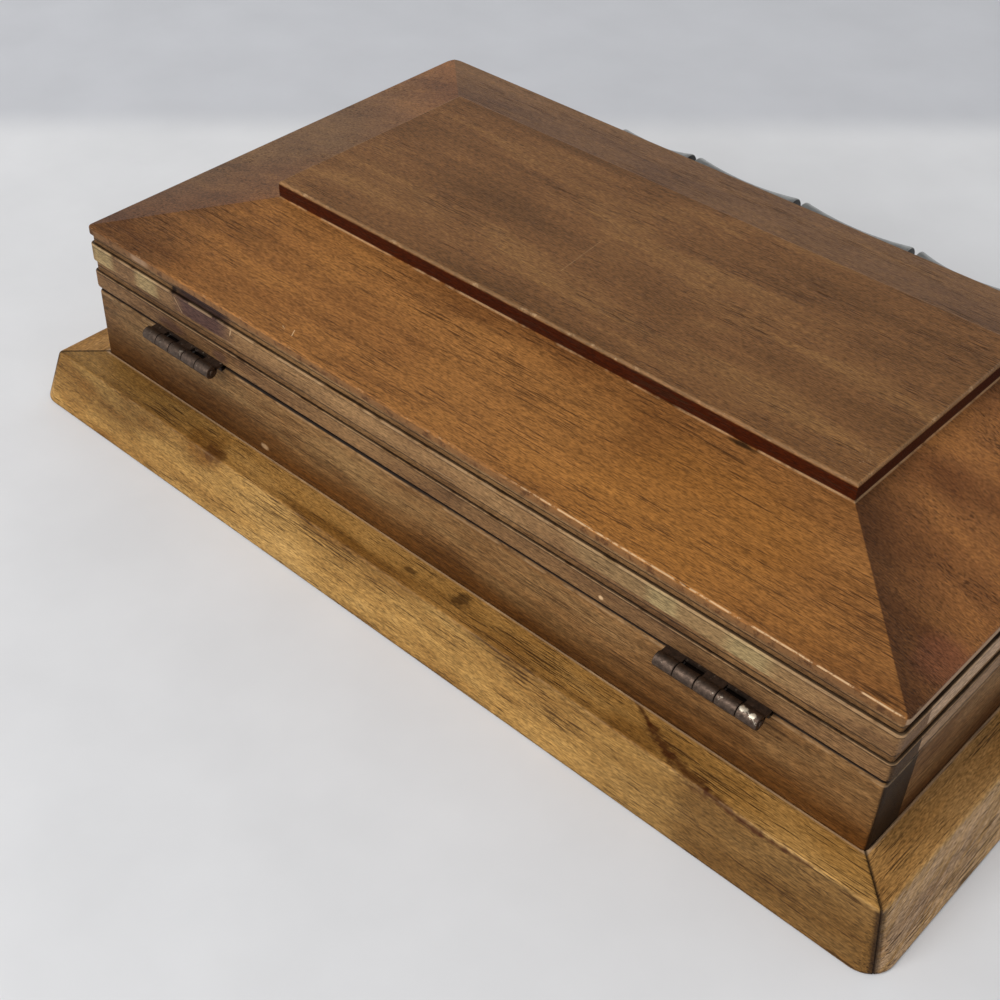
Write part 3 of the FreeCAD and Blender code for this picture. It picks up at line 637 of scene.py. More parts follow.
def plinth_knots(tree, place, base, colours):
    """Knots, and one dark streak that crosses the back length's ledge and follows its arris."""
    base = overlaid(tree, base, colours.knot, 0.6, spot(tree, place, (65, 76.2, 14), (5.5, 3.5, 3), 0.9))
    for centre, reach, ragged in (((-15.3, 71.6, 14.3), (3.2, 3, 2), 0.8),
                                  ((-0.4, 72.5, 14.3), (2.6, 1.1, 1), 0.3)):
        base = overlaid(tree, base, colours.pore, 0.7, spot(tree, place, centre, reach, ragged))
    streak = [(-61, 67, 14.3, 1.2), (-69, 71.1, 14.3, 2.8), (-77, 74.9, 14.3, 3.6), (-87.5, 77, 14.2, 1.8),
              (-101.4, 77.9, 13.4, 1.1), (-113, 77.6, 13.9, 0.8)]
    for (*start, width), (*end, _) in zip(streak, streak[1:]):
        base = overlaid(tree, base, colours.knot, 0.8, scratch(tree, place, start, end, width))
    return base


def plinth_hardwood(sizes, colours, along):
    """Golden open pored moulding under worn wax: coarse flecks, knots, dark mitres, a bright arris, a painted
    highlight along the inner edge and a painted contact shadow along the foot.
    """
    material, tree, place = new_material("golden_hardwood_plinth_along_" + "xy"[along])
    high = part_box("plinth_back")[1]
    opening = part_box("body_back")[1]
    height = add(tree, "SeparateXYZ", place.outputs["Object"]).outputs["Z"]
    on_face = add(tree, "MapRange", height, From_Min=high.z - 0.2 * MM, From_Max=high.z - 0.8 * MM)
    on_ledge = add(tree, "MapRange", height, From_Min=high.z - 0.5 * MM, From_Max=high.z - 0.1 * MM)
    base = stained(tree, place, along, colours.plinth_dark, colours.plinth_mid, colours.plinth_light)
    if along == ALONG_X:
        base = plinth_stains(tree, place, base, colours, on_face, on_ledge)
    else:
        base = plinth_ribs(tree, place, base, colours, on_face)
        base = dimmed(tree, base, (1.0, 0.93, 1.0), on_ledge)
    base, bumps = grained(tree, place, along, base, 0.2, 0.4, 0.8, colours.pore)
    if along == ALONG_X:
        base = plinth_knots(tree, place, base, colours)
    away = outline_distance(tree, place, opening.x, opening.y)
    beyond = add(tree, "Math", away, sizes.plinth_ledge, settings={"operation": "SUBTRACT"})
    arris = edge_line(tree, beyond, height, high.z, 0.5 * MM)
    base = overlaid(tree, base, colours.rubbed_and_highlight, 0.2, arris, broken(tree, place, 7 * MM, 0.6))
    # Painted highlight: a pale line along the inner edge beside the body, broken with wear.
    inner = edge_line(tree, away, height, high.z, 1.0 * MM)
    base = overlaid(tree, base, colours.dust_and_sheen, 0.6, inner)
    base = overlaid(tree, base, colours.rubbed_and_highlight, 0.45, inner, broken(tree, place, 12 * MM, 0.4))
    mitre = hip_distance(tree, place, opening.x, opening.y)
    off_mitre = add(tree, "Math", mitre, settings={"operation": "ABSOLUTE"})
    base = overlaid(tree, base, colours.grime_and_shade, 0.8,
                    add(tree, "MapRange", off_mitre, From_Min=0.7 * MM, From_Max=0.2 * MM))
    base = overlaid(tree, base, colours.end_wood, 0.7, on_face,
                    add(tree, "MapRange", off_mitre, From_Min=2.0 * MM, From_Max=1.0 * MM))
    # Painted contact shadow along the foot.
    base = overlaid(tree, base, colours.grime_and_shade, 0.7, between(tree, height, -MM, 0.5 * MM, 0.4 * MM))
    finish_wood(tree, base, bumps, 0.09 * MM)
    return material


def aged_bronze(colours):
    """Bronze gone dark brown with handling: painted shade in the notches behind the knuckles, bright along
    the crest and in small spots where it is worn, with painted glints.
    """
    material, tree, place = new_material("aged_bronze")
    axis = hinge_places()["left"]
    _, y, height = add(tree, "SeparateXYZ", place.outputs["Object"]).outputs
    spots = add(tree, "TexNoise", place.outputs["Object"], Scale=1 / (1.2 * MM), Detail=5.0, Roughness=0.7)
    base = varied(tree, colours.bronze, spots, (0.35, 0.65), (0.6, 1.5))
    # Painted glints with wear: a broken bright line along the knuckles' crest and two bright spots on one end
    # knuckle.
    crest = between(tree, height, axis.z + 0.7 * MM, axis.z + 1.5 * MM, 0.3 * MM)
    base = overlaid(tree, base, colours.worn_bronze_and_glint, 0.7, crest, broken(tree, place, 1.1 * MM, 0.2))
    for centre, reach in (((-89.4, 71.9, 36.1), 1.3), ((-91.7, 72.2, 36.0), 0.9)):
        base = overlaid(tree, base, colours.worn_bronze_and_glint, 0.95,
                        spot(tree, place, centre, (reach, 0.8, 0.8), 0.8))
    # Painted shade in the notches behind the knuckles.
    inside = add(tree, "MapRange", y, From_Min=axis.y - 1.3 * MM, From_Max=axis.y - 1.7 * MM)
    under = add(tree, "MapRange", height, From_Min=axis.z + 0.3 * MM, From_Max=axis.z)
    base = overlaid(tree, base, colours.grime_and_shade, 0.95, inside, under)
    roughness = add(tree, "MapRange", spots, From_Min=0.35, From_Max=0.7, To_Min=0.55, To_Max=0.35)
    finish_material(tree, base, roughness, spots, 0.05 * MM, Metallic=0.8)
    return material


def cast_pewter(sizes, colours):
    """Cast grey metal, dull and a little uneven, black with tarnish in the grooves."""
    material, tree, place = new_material("cast_pewter")
    grain = add(tree, "TexNoise", place.outputs["Object"], Scale=1 / (2.5 * MM), Detail=4.0, Roughness=0.65)
    base = varied(tree, colours.pewter, grain, (0.35, 0.65), (0.75, 1.1))
    direction = add(tree, "SeparateXYZ", place.outputs["Normal"]).outputs["X"]
    endways = add(tree, "Math", direction, settings={"operation": "ABSOLUTE"})
    base = overlaid(tree, base, colours.pewter_dark, 0.95,
                    add(tree, "MapRange", endways, From_Min=0.75, From_Max=0.95))
    along = add(tree, "SeparateXYZ", place.outputs["Object"]).outputs["X"]
    from_middle = add(tree, "Math", along, settings={"operation": "ABSOLUTE"})
    half_gap = sizes.node_gap / 2
    for node in (0.0, sizes.node_spacing):
        base = overlaid(tree, base, colours.pewter_dark, 0.9,
                        between(tree, from_middle, node - half_gap, node + half_gap, 0.1 * MM))
    finish_material(tree, base, 0.42, grain, 0.06 * MM, Metallic=0.8)
    return material


def turned_metal(name, tint):
    """Small turned screws: a worn shine with fine dark specks."""
    material, tree, place = new_material(name)
    specks = add(tree, "TexNoise", place.outputs["Object"], Scale=1 / (0.8 * MM), Detail=3.0)
    base = varied(tree, tint, specks, (0.3, 0.7), (0.5, 1.1))
    finish_material(tree, base, 0.35, specks, 0.02 * MM, Metallic=1.0)
    return material


def wool_felt(colours):
    """Pressed wool felt: matt, with a soft nap of crossing fibres."""
    material, tree, place = new_material("wool_felt")
    # Real wool fibres are about 0.03 mm thick, too fine to show, so the nap is drawn coarser.
    nap = add(tree, "TexNoise", place.outputs["Object"], Scale=1 / (0.6 * MM), Detail=5.0, Roughness=0.8)
    base = varied(tree, colours.felt, nap, (0.3, 0.7), (0.6, 1.35))
    finish_material(tree, base, 0.95, nap, 0.15 * MM, Sheen_Weight=0.3, Sheen_Roughness=0.5)
    return material


def birch_ply(colours):
    """Thin plywood, pale and plainly sanded."""
    material, tree, place = new_material("birch_plywood")
    base, bumps = grained(tree, place, ALONG_X, colours.ply, 0.15, 0.12, 0.3, colours.body_mid)
    finish_wood(tree, base, bumps, 0.04 * MM)
    return material


def matt_paper(colours):
    """Seamless matt paper, a little greyer where it lies away from the light."""
    material, tree, place = new_material("matt_paper")
    from_light = (0.695, -0.719, 0.0)
    away = add(tree, "VectorMath", place.outputs["Object"], from_light,
               settings={"operation": "DOT_PRODUCT"}).outputs["Value"]
    far = add(tree, "MapRange", away, settings={"interpolation_type": "SMOOTHSTEP"},
              From_Min=180 * MM, From_Max=205 * MM)
    base = add(tree, "MixRGB", far, colours.floor, colours.floor_far)
    fleck = add(tree, "TexNoise", place.outputs["Object"], Scale=1 / (30 * MM), Detail=5.0)
    base = varied(tree, base, fleck, (0.3, 0.7), (0.97, 1.03))
    finish_material(tree, base, 0.75, fleck, 0.1 * MM)
    return material


def edges_where(mesh, test):
    """The outward edges of a bmesh whose two ends both pass a test of their place."""
    return [edge for edge in mesh.edges if edge.is_convex and edge.calc_face_angle(0.0) > FOLD_ANGLE
            and all(test(vert.co) for vert in edge.verts)]


def soften(mesh, edges, width, segments=3):
    """Round edges over by a width on either side."""
    bmesh.ops.bevel(mesh, geom=edges, offset=width, offset_type="OFFSET", segments=segments, profile=0.5,
                    affect="EDGES", clamp_overlap=False, material=-1)


def rounded_plan(mesh, half_length, half_width, corners, height):
    """Add a level rectangle to a bmesh, its front and back corners rounded, and return its face."""
    plan = bmesh.ops.create_grid(mesh, x_segments=1, y_segments=1, size=1.0)["verts"]
    bmesh.ops.scale(mesh, vec=(half_length, half_width, 1.0), verts=plan)
    bmesh.ops.translate(mesh, vec=(0.0, 0.0, height), verts=plan)
    pairs = [[vert for vert in plan if vert.co.y < 0], [vert for vert in plan if vert.co.y > 0]]
    for pair, radius in zip(pairs, corners):
        rounded = bmesh.ops.bevel(mesh, geom=pair, offset=radius, offset_type="OFFSET", segments=CORNER_STEPS,
                                  profile=0.5, affect="VERTICES", clamp_overlap=False, material=-1)["verts"]
    return rounded[0].link_faces[0]


def stack(half_length, half_width, steps):
    """A block from level outlines, lowest first; steps are (inset, (front corner, back corner), height)."""
    mesh = bmesh.new()
    plans = [rounded_plan(mesh, half_length - inset, half_width - inset, corners, height)
             for inset, corners, height in steps]
    for low, high in zip(plans, plans[1:]):
        bmesh.ops.bridge_loops(mesh, edges=low.edges[:] + high.edges[:])
    bmesh.ops.delete(mesh, geom=plans[1:-1], context="FACES_ONLY")
    bmesh.ops.recalc_face_normals(mesh, faces=mesh.faces)
    return mesh


def lid_stack(sizes, steps):
    """A block on the lid's outline from steps of (inset, height), its corners tighter by each inset."""
    half_length, half_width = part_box("lid_board")[1].xy
    plans = [(inset, (sizes.front_corner - inset, sizes.back_corner - inset), height)
             for inset, height in steps]
    return stack(half_length, half_width, plans)


def rounding(inset, height, radius, way):
    """Steps that round a block's level edge over; way is 1 at its top and -1 at its foot."""
    turns = [math.pi / 2 * step / EDGE_STEPS for step in range(EDGE_STEPS + 1)]
    steps = [(inset + radius * (1 - math.cos(turn)), height - way * radius * (1 - math.sin(turn)))
             for turn in turns]
    return steps[::way]


def box_between(low, high):
    """A rectangular block between two corners."""
    mesh = bmesh.new()
    bmesh.ops.create_cube(mesh, size=1.0)
    bmesh.ops.scale(mesh, vec=Vector(high) - Vector(low), verts=mesh.verts)
    bmesh.ops.translate(mesh, vec=(Vector(low) + Vector(high)) / 2, verts=mesh.verts)
    return mesh


def raise_faces(mesh, faces, rise):
    """Extrude faces of a closed bmesh straight up."""
    grown = bmesh.ops.extrude_face_region(mesh, geom=faces)["geom"]
    bmesh.ops.delete(mesh, geom=faces, context="FACES_ONLY")
    verts = [item for item in grown if isinstance(item, bmesh.types.BMVert)]
    bmesh.ops.translate(mesh, vec=(0.0, 0.0, rise), verts=verts)


def turned(profile, closed=False):
    """A form turned round the X axis from a profile of (along, radius) points."""
    mesh = bmesh.new()
    verts = [mesh.verts.new((along, 0.0, radius)) for along, radius in profile]
    pairs = list(zip(verts, verts[1:])) + ([(verts[-1], verts[0])] if closed else [])
    edges = [mesh.edges.new(pair) for pair in pairs]
    bmesh.ops.spin(mesh, geom=verts + edges, cent=(0.0, 0.0, 0.0), axis=(1.0, 0.0, 0.0), angle=math.tau,
                   steps=ROUND_STEPS, use_merge=True)
    bmesh.ops.remove_doubles(mesh, verts=mesh.verts, dist=NEAR / 10)
    bmesh.ops.recalc_face_normals(mesh, faces=mesh.faces)
    return mesh


def temporary(mesh):
    """An object that holds a bmesh for the length of one cut."""
    data = bpy.data.meshes.new("temporary")
    mesh.to_mesh(data)
    mesh.free()
    holder = bpy.data.objects.new("temporary", data)
    bpy.context.scene.collection.objects.link(holder)
    return holder


def carved(mesh, tools):
    """A bmesh after other bmeshes are cut out of it."""
    holders = [temporary(part) for part in [mesh] + tools]
    for tool in holders[1:]:
        cut = holders[0].modifiers.new("cut", "BOOLEAN")
        cut.operation = "DIFFERENCE"
        cut.solver = "EXACT"
        cut.object = tool
    result = bmesh.new()
    result.from_object(holders[0], bpy.context.evaluated_depsgraph_get())
    for holder in holders:
        bpy.data.meshes.remove(holder.data)
    return result


def joined(parts):
    """One bmesh that holds several."""
    whole = bmesh.new()
    for part in parts:
        data = bpy.data.meshes.new("part")
        part.to_mesh(data)
        part.free()
        whole.from_mesh(data)
        bpy.data.meshes.remove(data)
    return whole


def part_of(mesh, planes):
    """A copy of a bmesh cut away in front of planes given as (place, direction), with the cuts closed."""
    part = mesh.copy()
    for place, direction in planes:
        bmesh.ops.bisect_plane(part, geom=part.verts[:] + part.edges[:] + part.faces[:], dist=NEAR / 10,
                               plane_co=place, plane_no=direction, clear_outer=True)
        bmesh.ops.holes_fill(part, edges=[edge for edge in part.edges if edge.is_boundary], sides=0)
    bmesh.ops.recalc_face_normals(part, faces=part.faces)
    return part


def butted_boards(block, inner_length, inner_width):
    """Boards cut from a block round an opening: front and back run to the corners, the ends stand between."""
    span = [((0, inner_width, 0), (0, 1, 0)), ((0, -inner_width, 0), (0, -1, 0))]
    return {
        "front": part_of(block, [((0, -inner_width, 0), (0, 1, 0))]),
        "back": part_of(block, [((0, inner_width, 0), (0, -1, 0))]),
        "left": part_of(block, span + [((-inner_length, 0, 0), (1, 0, 0))]),
        "right": part_of(block, span + [((inner_length, 0, 0), (-1, 0, 0))]),
    }


def mitred_sides(ring, half_length, half_width):
    """A ring cut into sides at the mitres of its opening's corners."""
    sides = {}
    for side, way in {"front": -1, "back": 1}.items():
        planes = [((end * half_length, way * half_width, 0), (end, -way, 0)) for end in (-1, 1)]
        sides[side] = part_of(ring, planes + [((0, 0, 0), (0, -way, 0))])
    for side, end in {"left": -1, "right": 1}.items():
        planes = [((end * half_length, way * half_width, 0), (-end, way, 0)) for way in (-1, 1)]
        sides[side] = part_of(ring, planes + [((0, 0, 0), (-end, 0, 0))])
    return sides


def grain_of(side):
    """The axis a side's grain runs along."""
    return ALONG_X if side in ("front", "back") else ALONG_Y


def piece_from(mesh, node, finish, material, body):
    """Turn a bmesh into a finished piece that rides on a body and stands for a node."""
    name = node + "_" + finish
    bmesh.ops.recalc_face_normals(mesh, faces=mesh.faces)
    for face in mesh.faces:
        face.smooth = True
    for edge in mesh.edges:
        angle = edge.calc_face_angle(math.pi)
        fold = angle > FOLD_ANGLE and max(face.calc_area() for face in edge.link_faces) > BROAD_FACE
        edge.smooth = angle < SHARP_ANGLE and not fold
    data = bpy.data.meshes.new(name)
    mesh.to_mesh(data)
    mesh.free()
    data.materials.append(material)
    piece = bpy.data.objects.new(name, data)
    bpy.context.scene.collection.objects.link(piece)
    even = piece.modifiers.new("even_shading", "WEIGHTED_NORMAL")
    even.keep_sharp = True
    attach(piece, body)
    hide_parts(node)
    return piece


def dress_node(node, material):
    """Give a material to a node that is seen as its own solid."""
    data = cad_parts[node].data
    data.materials.clear()
    data.materials.append(material)


def hinge_places():
    """Each hinge's name and the middle of its barrel."""
    places = {}
    for name in ("left", "right"):
        low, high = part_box("hinge_" + name + "_pin")
        places[name] = (low + high) / 2
    return places


def hinge_length():
    """Length of a hinge's leaves."""
    low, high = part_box("hinge_left_lid_leaf")
    return high.x - low.x


def leaf_face(side):
    """Height of the face of a leaf that meets the other leaf."""
    low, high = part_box("hinge_lid_screws" if side > 0 else "hinge_body_screws")
    return low.z if side > 0 else high.z


def leaf_box(sizes, centre, side, spare, end):
    """Corners of a leaf's plate; side is 1 in the lid and -1 in the body, end is its outer edge along Y."""
    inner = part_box("hinge_left_lid_leaf")[0].y - spare
    face = leaf_face(side)
    heights = sorted((face, face + side * sizes.leaf))
    half = hinge_length() / 2 + spare
    return (centre.x - half, inner, heights[0]), (centre.x + half, end, heights[1])


def hinge_seats(sizes, face):
    """Blocks that cut room for the leaves of both hinges into a back board whose outer face is given."""
    return [box_between(*leaf_box(sizes, centre, side, sizes.leaf_fit, face + MM))
            for centre in hinge_places().values() for side in (-1, 1)]


class TRINKETBOX_OT_plinth(Operator):
    """Four mitred lengths of golden moulding round the foot"""
    bl_idname = "trinket_box.plinth"
    bl_label = "Plinth"

    def execute(self, context):
        sizes = context.scene.trinket_sizes
        colours = context.scene.trinket_colours
        low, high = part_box("plinth_back")
        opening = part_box("body_back")[1]
        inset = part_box("lid_board")[1].x - opening.x
        reach = high.y - opening.y
        block = stack(opening.x, opening.y, [(-reach, [sizes.plinth_foot_corner] * 2, low.z),
                                             (-sizes.plinth_ledge, [sizes.plinth_ledge_corner] * 2, high.z)])
        soften(block, edges_where(block, lambda place: place.z > high.z - NEAR), sizes.plinth_arris)
        soften(block, edges_where(block, lambda place: place.z < low.z + NEAR), sizes.plinth_foot)
        ring = carved(block, [lid_stack(sizes, [(inset, low.z - MM), (inset, high.z + MM)])])
        inner = edges_where(ring, lambda place: place.z > high.z - NEAR
                            and max(abs(place.x) - opening.x, abs(place.y) - opening.y) < NEAR)
        soften(ring, inner, sizes.plinth_inner)
        woods = [plinth_hardwood(sizes, colours, along) for along in (ALONG_X, ALONG_Y)]
        for side, mesh in mitred_sides(ring, opening.x, opening.y).items():
            cut = edges_where(mesh, lambda place: abs(abs(place.x) - opening.x
                                                      - abs(place.y) + opening.y) < NEAR)
            soften(mesh, cut, sizes.mitre_bevel, 1)
            piece_from(mesh, "plinth_" + side, "wood", woods[grain_of(side)], "base")
        ring.free()
        return {"FINISHED"}


class TRINKETBOX_OT_body(Operator):
    """Four butted body boards"""
    bl_idname = "trinket_box.body"
    bl_label = "Body"

    def execute(self, context):
        sizes = context.scene.trinket_sizes
        colours = context.scene.trinket_colours
        low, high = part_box("body_front")
        half_length, half_width = high.x, -low.y
        inner_length, inner_width = half_length - sizes.wall, half_width - sizes.wall
        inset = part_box("lid_board")[1].x - half_length
        block = lid_stack(sizes, [(inset, low.z)] + rounding(inset, high.z, sizes.body_top, 1))
        panel_low, panel_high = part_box("bottom_panel")
        room = Vector((sizes.panel_fit,) * 3)
        woods = [body_hardwood(colours, along) for along in (ALONG_X, ALONG_Y)]
        for side, mesh in butted_boards(block, inner_length, inner_width).items():
            inner = edges_where(mesh, lambda place: place.z > high.z - NEAR
                                and abs(place.x) < half_length and abs(place.y) < inner_width + NEAR)
            soften(mesh, inner, sizes.inner_edge)
            tools = [box_between(panel_low - room, panel_high + room)]
            if side == "back":
                tools += hinge_seats(sizes, half_width)
            mesh = carved(mesh, tools)
            piece_from(mesh, "body_" + side, "wood", woods[grain_of(side)], "base")
        block.free()
        return {"FINISHED"}


class TRINKETBOX_OT_rim(Operator):
    """Four grooved rails under the lid board"""
    bl_idname = "trinket_box.rim"
    bl_label = "Lid rim"

    def execute(self, context):
        sizes = context.scene.trinket_sizes
        colours = context.scene.trinket_colours
        low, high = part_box("lid_rail_front")
        half_length, half_width = high.x, -low.y
        inner_length, inner_width = half_length - sizes.rim_wall, half_width - sizes.rim_wall
        groove_foot = low.z + sizes.lower_band
        middle_foot = groove_foot + sizes.low_groove
        middle_top = middle_foot + sizes.middle_band
        draft = sizes.groove_draft
        grooves = [(0.0, groove_foot), (sizes.low_groove_depth, groove_foot + draft),
                   (sizes.low_groove_depth, middle_foot - draft), (0.0, middle_foot), (0.0, middle_top),
                   (sizes.high_groove_depth, middle_top + draft), (sizes.high_groove_depth, high.z)]
        block = lid_stack(sizes, rounding(0.0, low.z, sizes.rim_foot, -1) + grooves)
        bands = [edge for level in (groove_foot, middle_foot, middle_top)
                 for edge in edges_where(block, lambda place: abs(place.z - level) < NEAR)]
        soften(block, bands, sizes.band_arris, 2)
        woods = [rail_hardwood(sizes, colours, along) for along in (ALONG_X, ALONG_Y)]
        for side, mesh in butted_boards(block, inner_length, inner_width).items():
            inner = edges_where(mesh, lambda place: place.z < low.z + NEAR
                                and abs(place.x) < half_length and abs(place.y) < inner_width + NEAR)
            soften(mesh, inner, sizes.inner_edge)
            if side == "back":
                mesh = carved(mesh, hinge_seats(sizes, half_width))
            piece_from(mesh, "lid_rail_" + side, "wood", woods[grain_of(side)], "lid")
        block.free()
        return {"FINISHED"}


class TRINKETBOX_OT_lid_board(Operator):
    """Raised and fielded board on top of the lid"""
    bl_idname = "trinket_box.lid_board"
    bl_label = "Lid board"

    def execute(self, context):
        sizes = context.scene.trinket_sizes
        colours = context.scene.trinket_colours
        low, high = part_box("lid_board")
        slope_foot = low.z + sizes.lip
        step_foot = high.z - sizes.shoulder
        steep = (step_foot - slope_foot) / sizes.field_inset
        block = lid_stack(sizes, [(0.0, low.z), (0.0, step_foot)])
        planes = [((way * high.x, 0, slope_foot), (way * steep, 0, 1)) for way in (-1, 1)]
        planes += [((0, way * high.y, slope_foot), (0, way * steep, 1)) for way in (-1, 1)]
        mesh = part_of(block, planes)
        block.free()
        field = [face for face in mesh.faces if face.calc_center_median().z > step_foot - NEAR]
        raise_faces(mesh, field, sizes.shoulder)
        corner_rise = steep * sizes.front_corner
        arris = edges_where(mesh, lambda place: slope_foot - NEAR < place.z < slope_foot + corner_rise)
        soften(mesh, arris, sizes.lip_arris)
        soften(mesh, edges_where(mesh, lambda place: place.z > high.z - NEAR), sizes.field_arris)
        soften(mesh, edges_where(mesh, lambda place: place.z < low.z + NEAR), sizes.band_arris, 2)
        piece_from(mesh, "lid_board", "wood", lid_hardwood(sizes, colours), "lid")
        return {"FINISHED"}


class TRINKETBOX_OT_hinges(Operator):
    """Two butt hinges with rolled knuckles, their pins and screws"""
    bl_idname = "trinket_box.hinges"
    bl_label = "Hinges"

    def execute(self, context):
        sizes = context.scene.trinket_sizes
        colours = context.scene.trinket_colours
        bronze = aged_bronze(colours)
        for name, centre in hinge_places().items():
            for leaf, side in (("lid", 1), ("body", -1)):
                node = "hinge_" + name + "_" + leaf + "_leaf"
                body = "lid" if side > 0 else "base"
                piece_from(self.leaf(sizes, centre, side), node, "bronze", bronze, body)
            node = "hinge_" + name + "_pin"
            piece_from(self.pin(sizes, centre), node, "bronze", bronze, "lid")
        brass = turned_metal("turned_brass", colours.brass)
        for node in ("hinge_body_screws", "hinge_lid_screws"):
            dress_node(node, brass)
        return {"FINISHED"}

    def spans(self, sizes, centre):
        """Start and end of each knuckle along the pin."""
        step = (hinge_length() + sizes.knuckle_gap) / sizes.knuckles
        start = centre.x - hinge_length() / 2
        return [(start + i * step, start + (i + 1) * step - sizes.knuckle_gap) for i in range(sizes.knuckles)]

    def leaf(self, sizes, centre, side):
        """A plate with room for the other leaf's knuckles, two countersunk holes and its own knuckles."""
        end = centre.y - sizes.pin - sizes.knuckle_edge
        low, high = leaf_box(sizes, centre, side, 0.0, end)
        tools = []
        knuckles = []
        for i, (start, stop) in enumerate(self.spans(sizes, centre)):
            if (i % 2 == 0) == (side > 0):
                knuckles.append(self.knuckle(sizes, centre, start, stop))
            else:
                inner = centre.y - sizes.barrel - sizes.notch
                tools.append(box_between((start - sizes.knuckle_gap, inner, low[2] - MM),
                                         (stop + sizes.knuckle_gap, end + MM, high[2] + MM)))
        reach = hinge_length() / 2 - sizes.screw_end
        for shift in (-reach, reach):
            tools.append(self.countersink(sizes, centre, shift, side))
        plate = carved(box_between(low, high), tools)
        return joined([plate] + knuckles)

    def countersink(self, sizes, centre, shift, side):
        """The room of one screw in a leaf, wide at the leaf's open face."""
        fit = sizes.leaf_fit / 2
        head, shank = sizes.screw_head + fit, sizes.screw_shank + fit
        room = turned([(-MM, 0.0), (-MM, head), (0.0, head),
                       (sizes.leaf, shank), (2 * MM, shank), (2 * MM, 0.0)])
        place = Vector((centre.x + shift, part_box("lid_board")[1].y - sizes.screw_setback, leaf_face(side)))
        upright = Matrix.Rotation(-side * math.pi / 2, 4, "Y")
        bmesh.ops.transform(room, matrix=Matrix.Translation(place) @ upright, verts=room.verts)
        return room

    def knuckle(self, sizes, centre, start, stop):
        """One rolled knuckle, bored for the pin."""
        bore = sizes.pin + sizes.leaf_fit / 2
        ring = turned([(start, bore), (start, sizes.barrel), (stop, sizes.barrel), (stop, bore)], closed=True)
        rims = edges_where(ring, lambda place: Vector((place.y, place.z)).length > sizes.barrel - NEAR
                           and min(abs(place.x - start), abs(place.x - stop)) < NEAR)
        soften(ring, rims, sizes.knuckle_edge)
        bmesh.ops.translate(ring, vec=(0.0, centre.y, centre.z), verts=ring.verts)
        return ring

    def pin(self, sizes, centre):
        """A pin with rounded ends that stand a little out of the barrel."""
        half = hinge_length() / 2 + sizes.pin_end
        bar = turned([(-half, 0.0), (-half, sizes.pin), (half, sizes.pin), (half, 0.0)])
        rims = edges_where(bar, lambda place: Vector((place.y, place.z)).length > sizes.pin - NEAR
                           and abs(place.x) > half - NEAR)
        soften(bar, rims, sizes.knuckle_edge)
        bmesh.ops.translate(bar, vec=centre, verts=bar.verts)
        return bar


class TRINKETBOX_OT_pull(Operator):
    """Bamboo pattern pull on the lid's front, with its screws"""
    bl_idname = "trinket_box.pull"
    bl_label = "Pull"

    def execute(self, context):
        sizes = context.scene.trinket_sizes
        colours = context.scene.trinket_colours
        low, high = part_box("pull_handle")
        axis = Vector((0.0, low.y + sizes.node_radius, (low.z + high.z) / 2))
        node, gap = sizes.node_spacing, sizes.node_gap / 2
        tip = node + gap + sizes.tip_length
        lengths = [
            self.waisted(sizes, -tip, -node - gap, sizes.tip_radius, sizes.tip_waist, sizes.node_radius),
            self.waisted(sizes, -node + gap, -gap, sizes.node_radius, sizes.waist_radius, sizes.node_radius),
            self.waisted(sizes, gap, node - gap, sizes.node_radius, sizes.waist_radius, sizes.node_radius),
            self.waisted(sizes, node + gap, tip, sizes.node_radius, sizes.tip_waist, sizes.tip_radius),
        ]
        half = node + 2 * gap
        core = turned([(-half, 0.0), (-half, sizes.core_radius), (half, sizes.core_radius), (half, 0.0)])
        bar = lengths + [core]
        for part in bar:
            bmesh.ops.translate(part, vec=axis, verts=part.verts)
        posts = [self.post(sizes, axis, shift) for shift in (-sizes.post_spacing / 2, sizes.post_spacing / 2)]
        pewter = cast_pewter(sizes, colours)
        piece_from(joined(bar + posts), "pull_handle", "pewter", pewter, "lid")
        dress_node("pull_screws", turned_metal("turned_steel", colours.steel))
        return {"FINISHED"}

    def waisted(self, sizes, start, stop, start_radius, waist, stop_radius):
        """One length that narrows to a waist between rounded rims."""
        middle, half = (start + stop) / 2, (stop - start) / 2
        curve = []
        for step in range(-CORNER_STEPS, CORNER_STEPS + 1):
            share = step / CORNER_STEPS
            radius = start_radius if share < 0 else stop_radius
            curve.append((middle + half * share, waist + (radius - waist) * share ** 2))
        mesh = turned([(start, 0.0)] + curve + [(stop, 0.0)])
        rims = edges_where(mesh, lambda place: Vector((place.y, place.z)).length > sizes.waist_radius / 2
                           and min(abs(place.x - start), abs(place.x - stop)) < NEAR)
        soften(mesh, rims, sizes.rim_round)
        return mesh

    def post(self, sizes, axis, shift):
        """A post that narrows from the lid's front to the bar."""
        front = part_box("lid_rail_front")[0].y
        standoff = front - axis.y
        cone = turned([(0.0, 0.0), (0.0, sizes.post_base), (standoff, sizes.post_neck), (standoff, 0.0)])
        turn = Matrix.Translation((shift, front, axis.z)) @ Matrix.Rotation(-math.pi / 2, 4, "Z")
        bmesh.ops.transform(cone, matrix=turn, verts=cone.verts)
        return cone


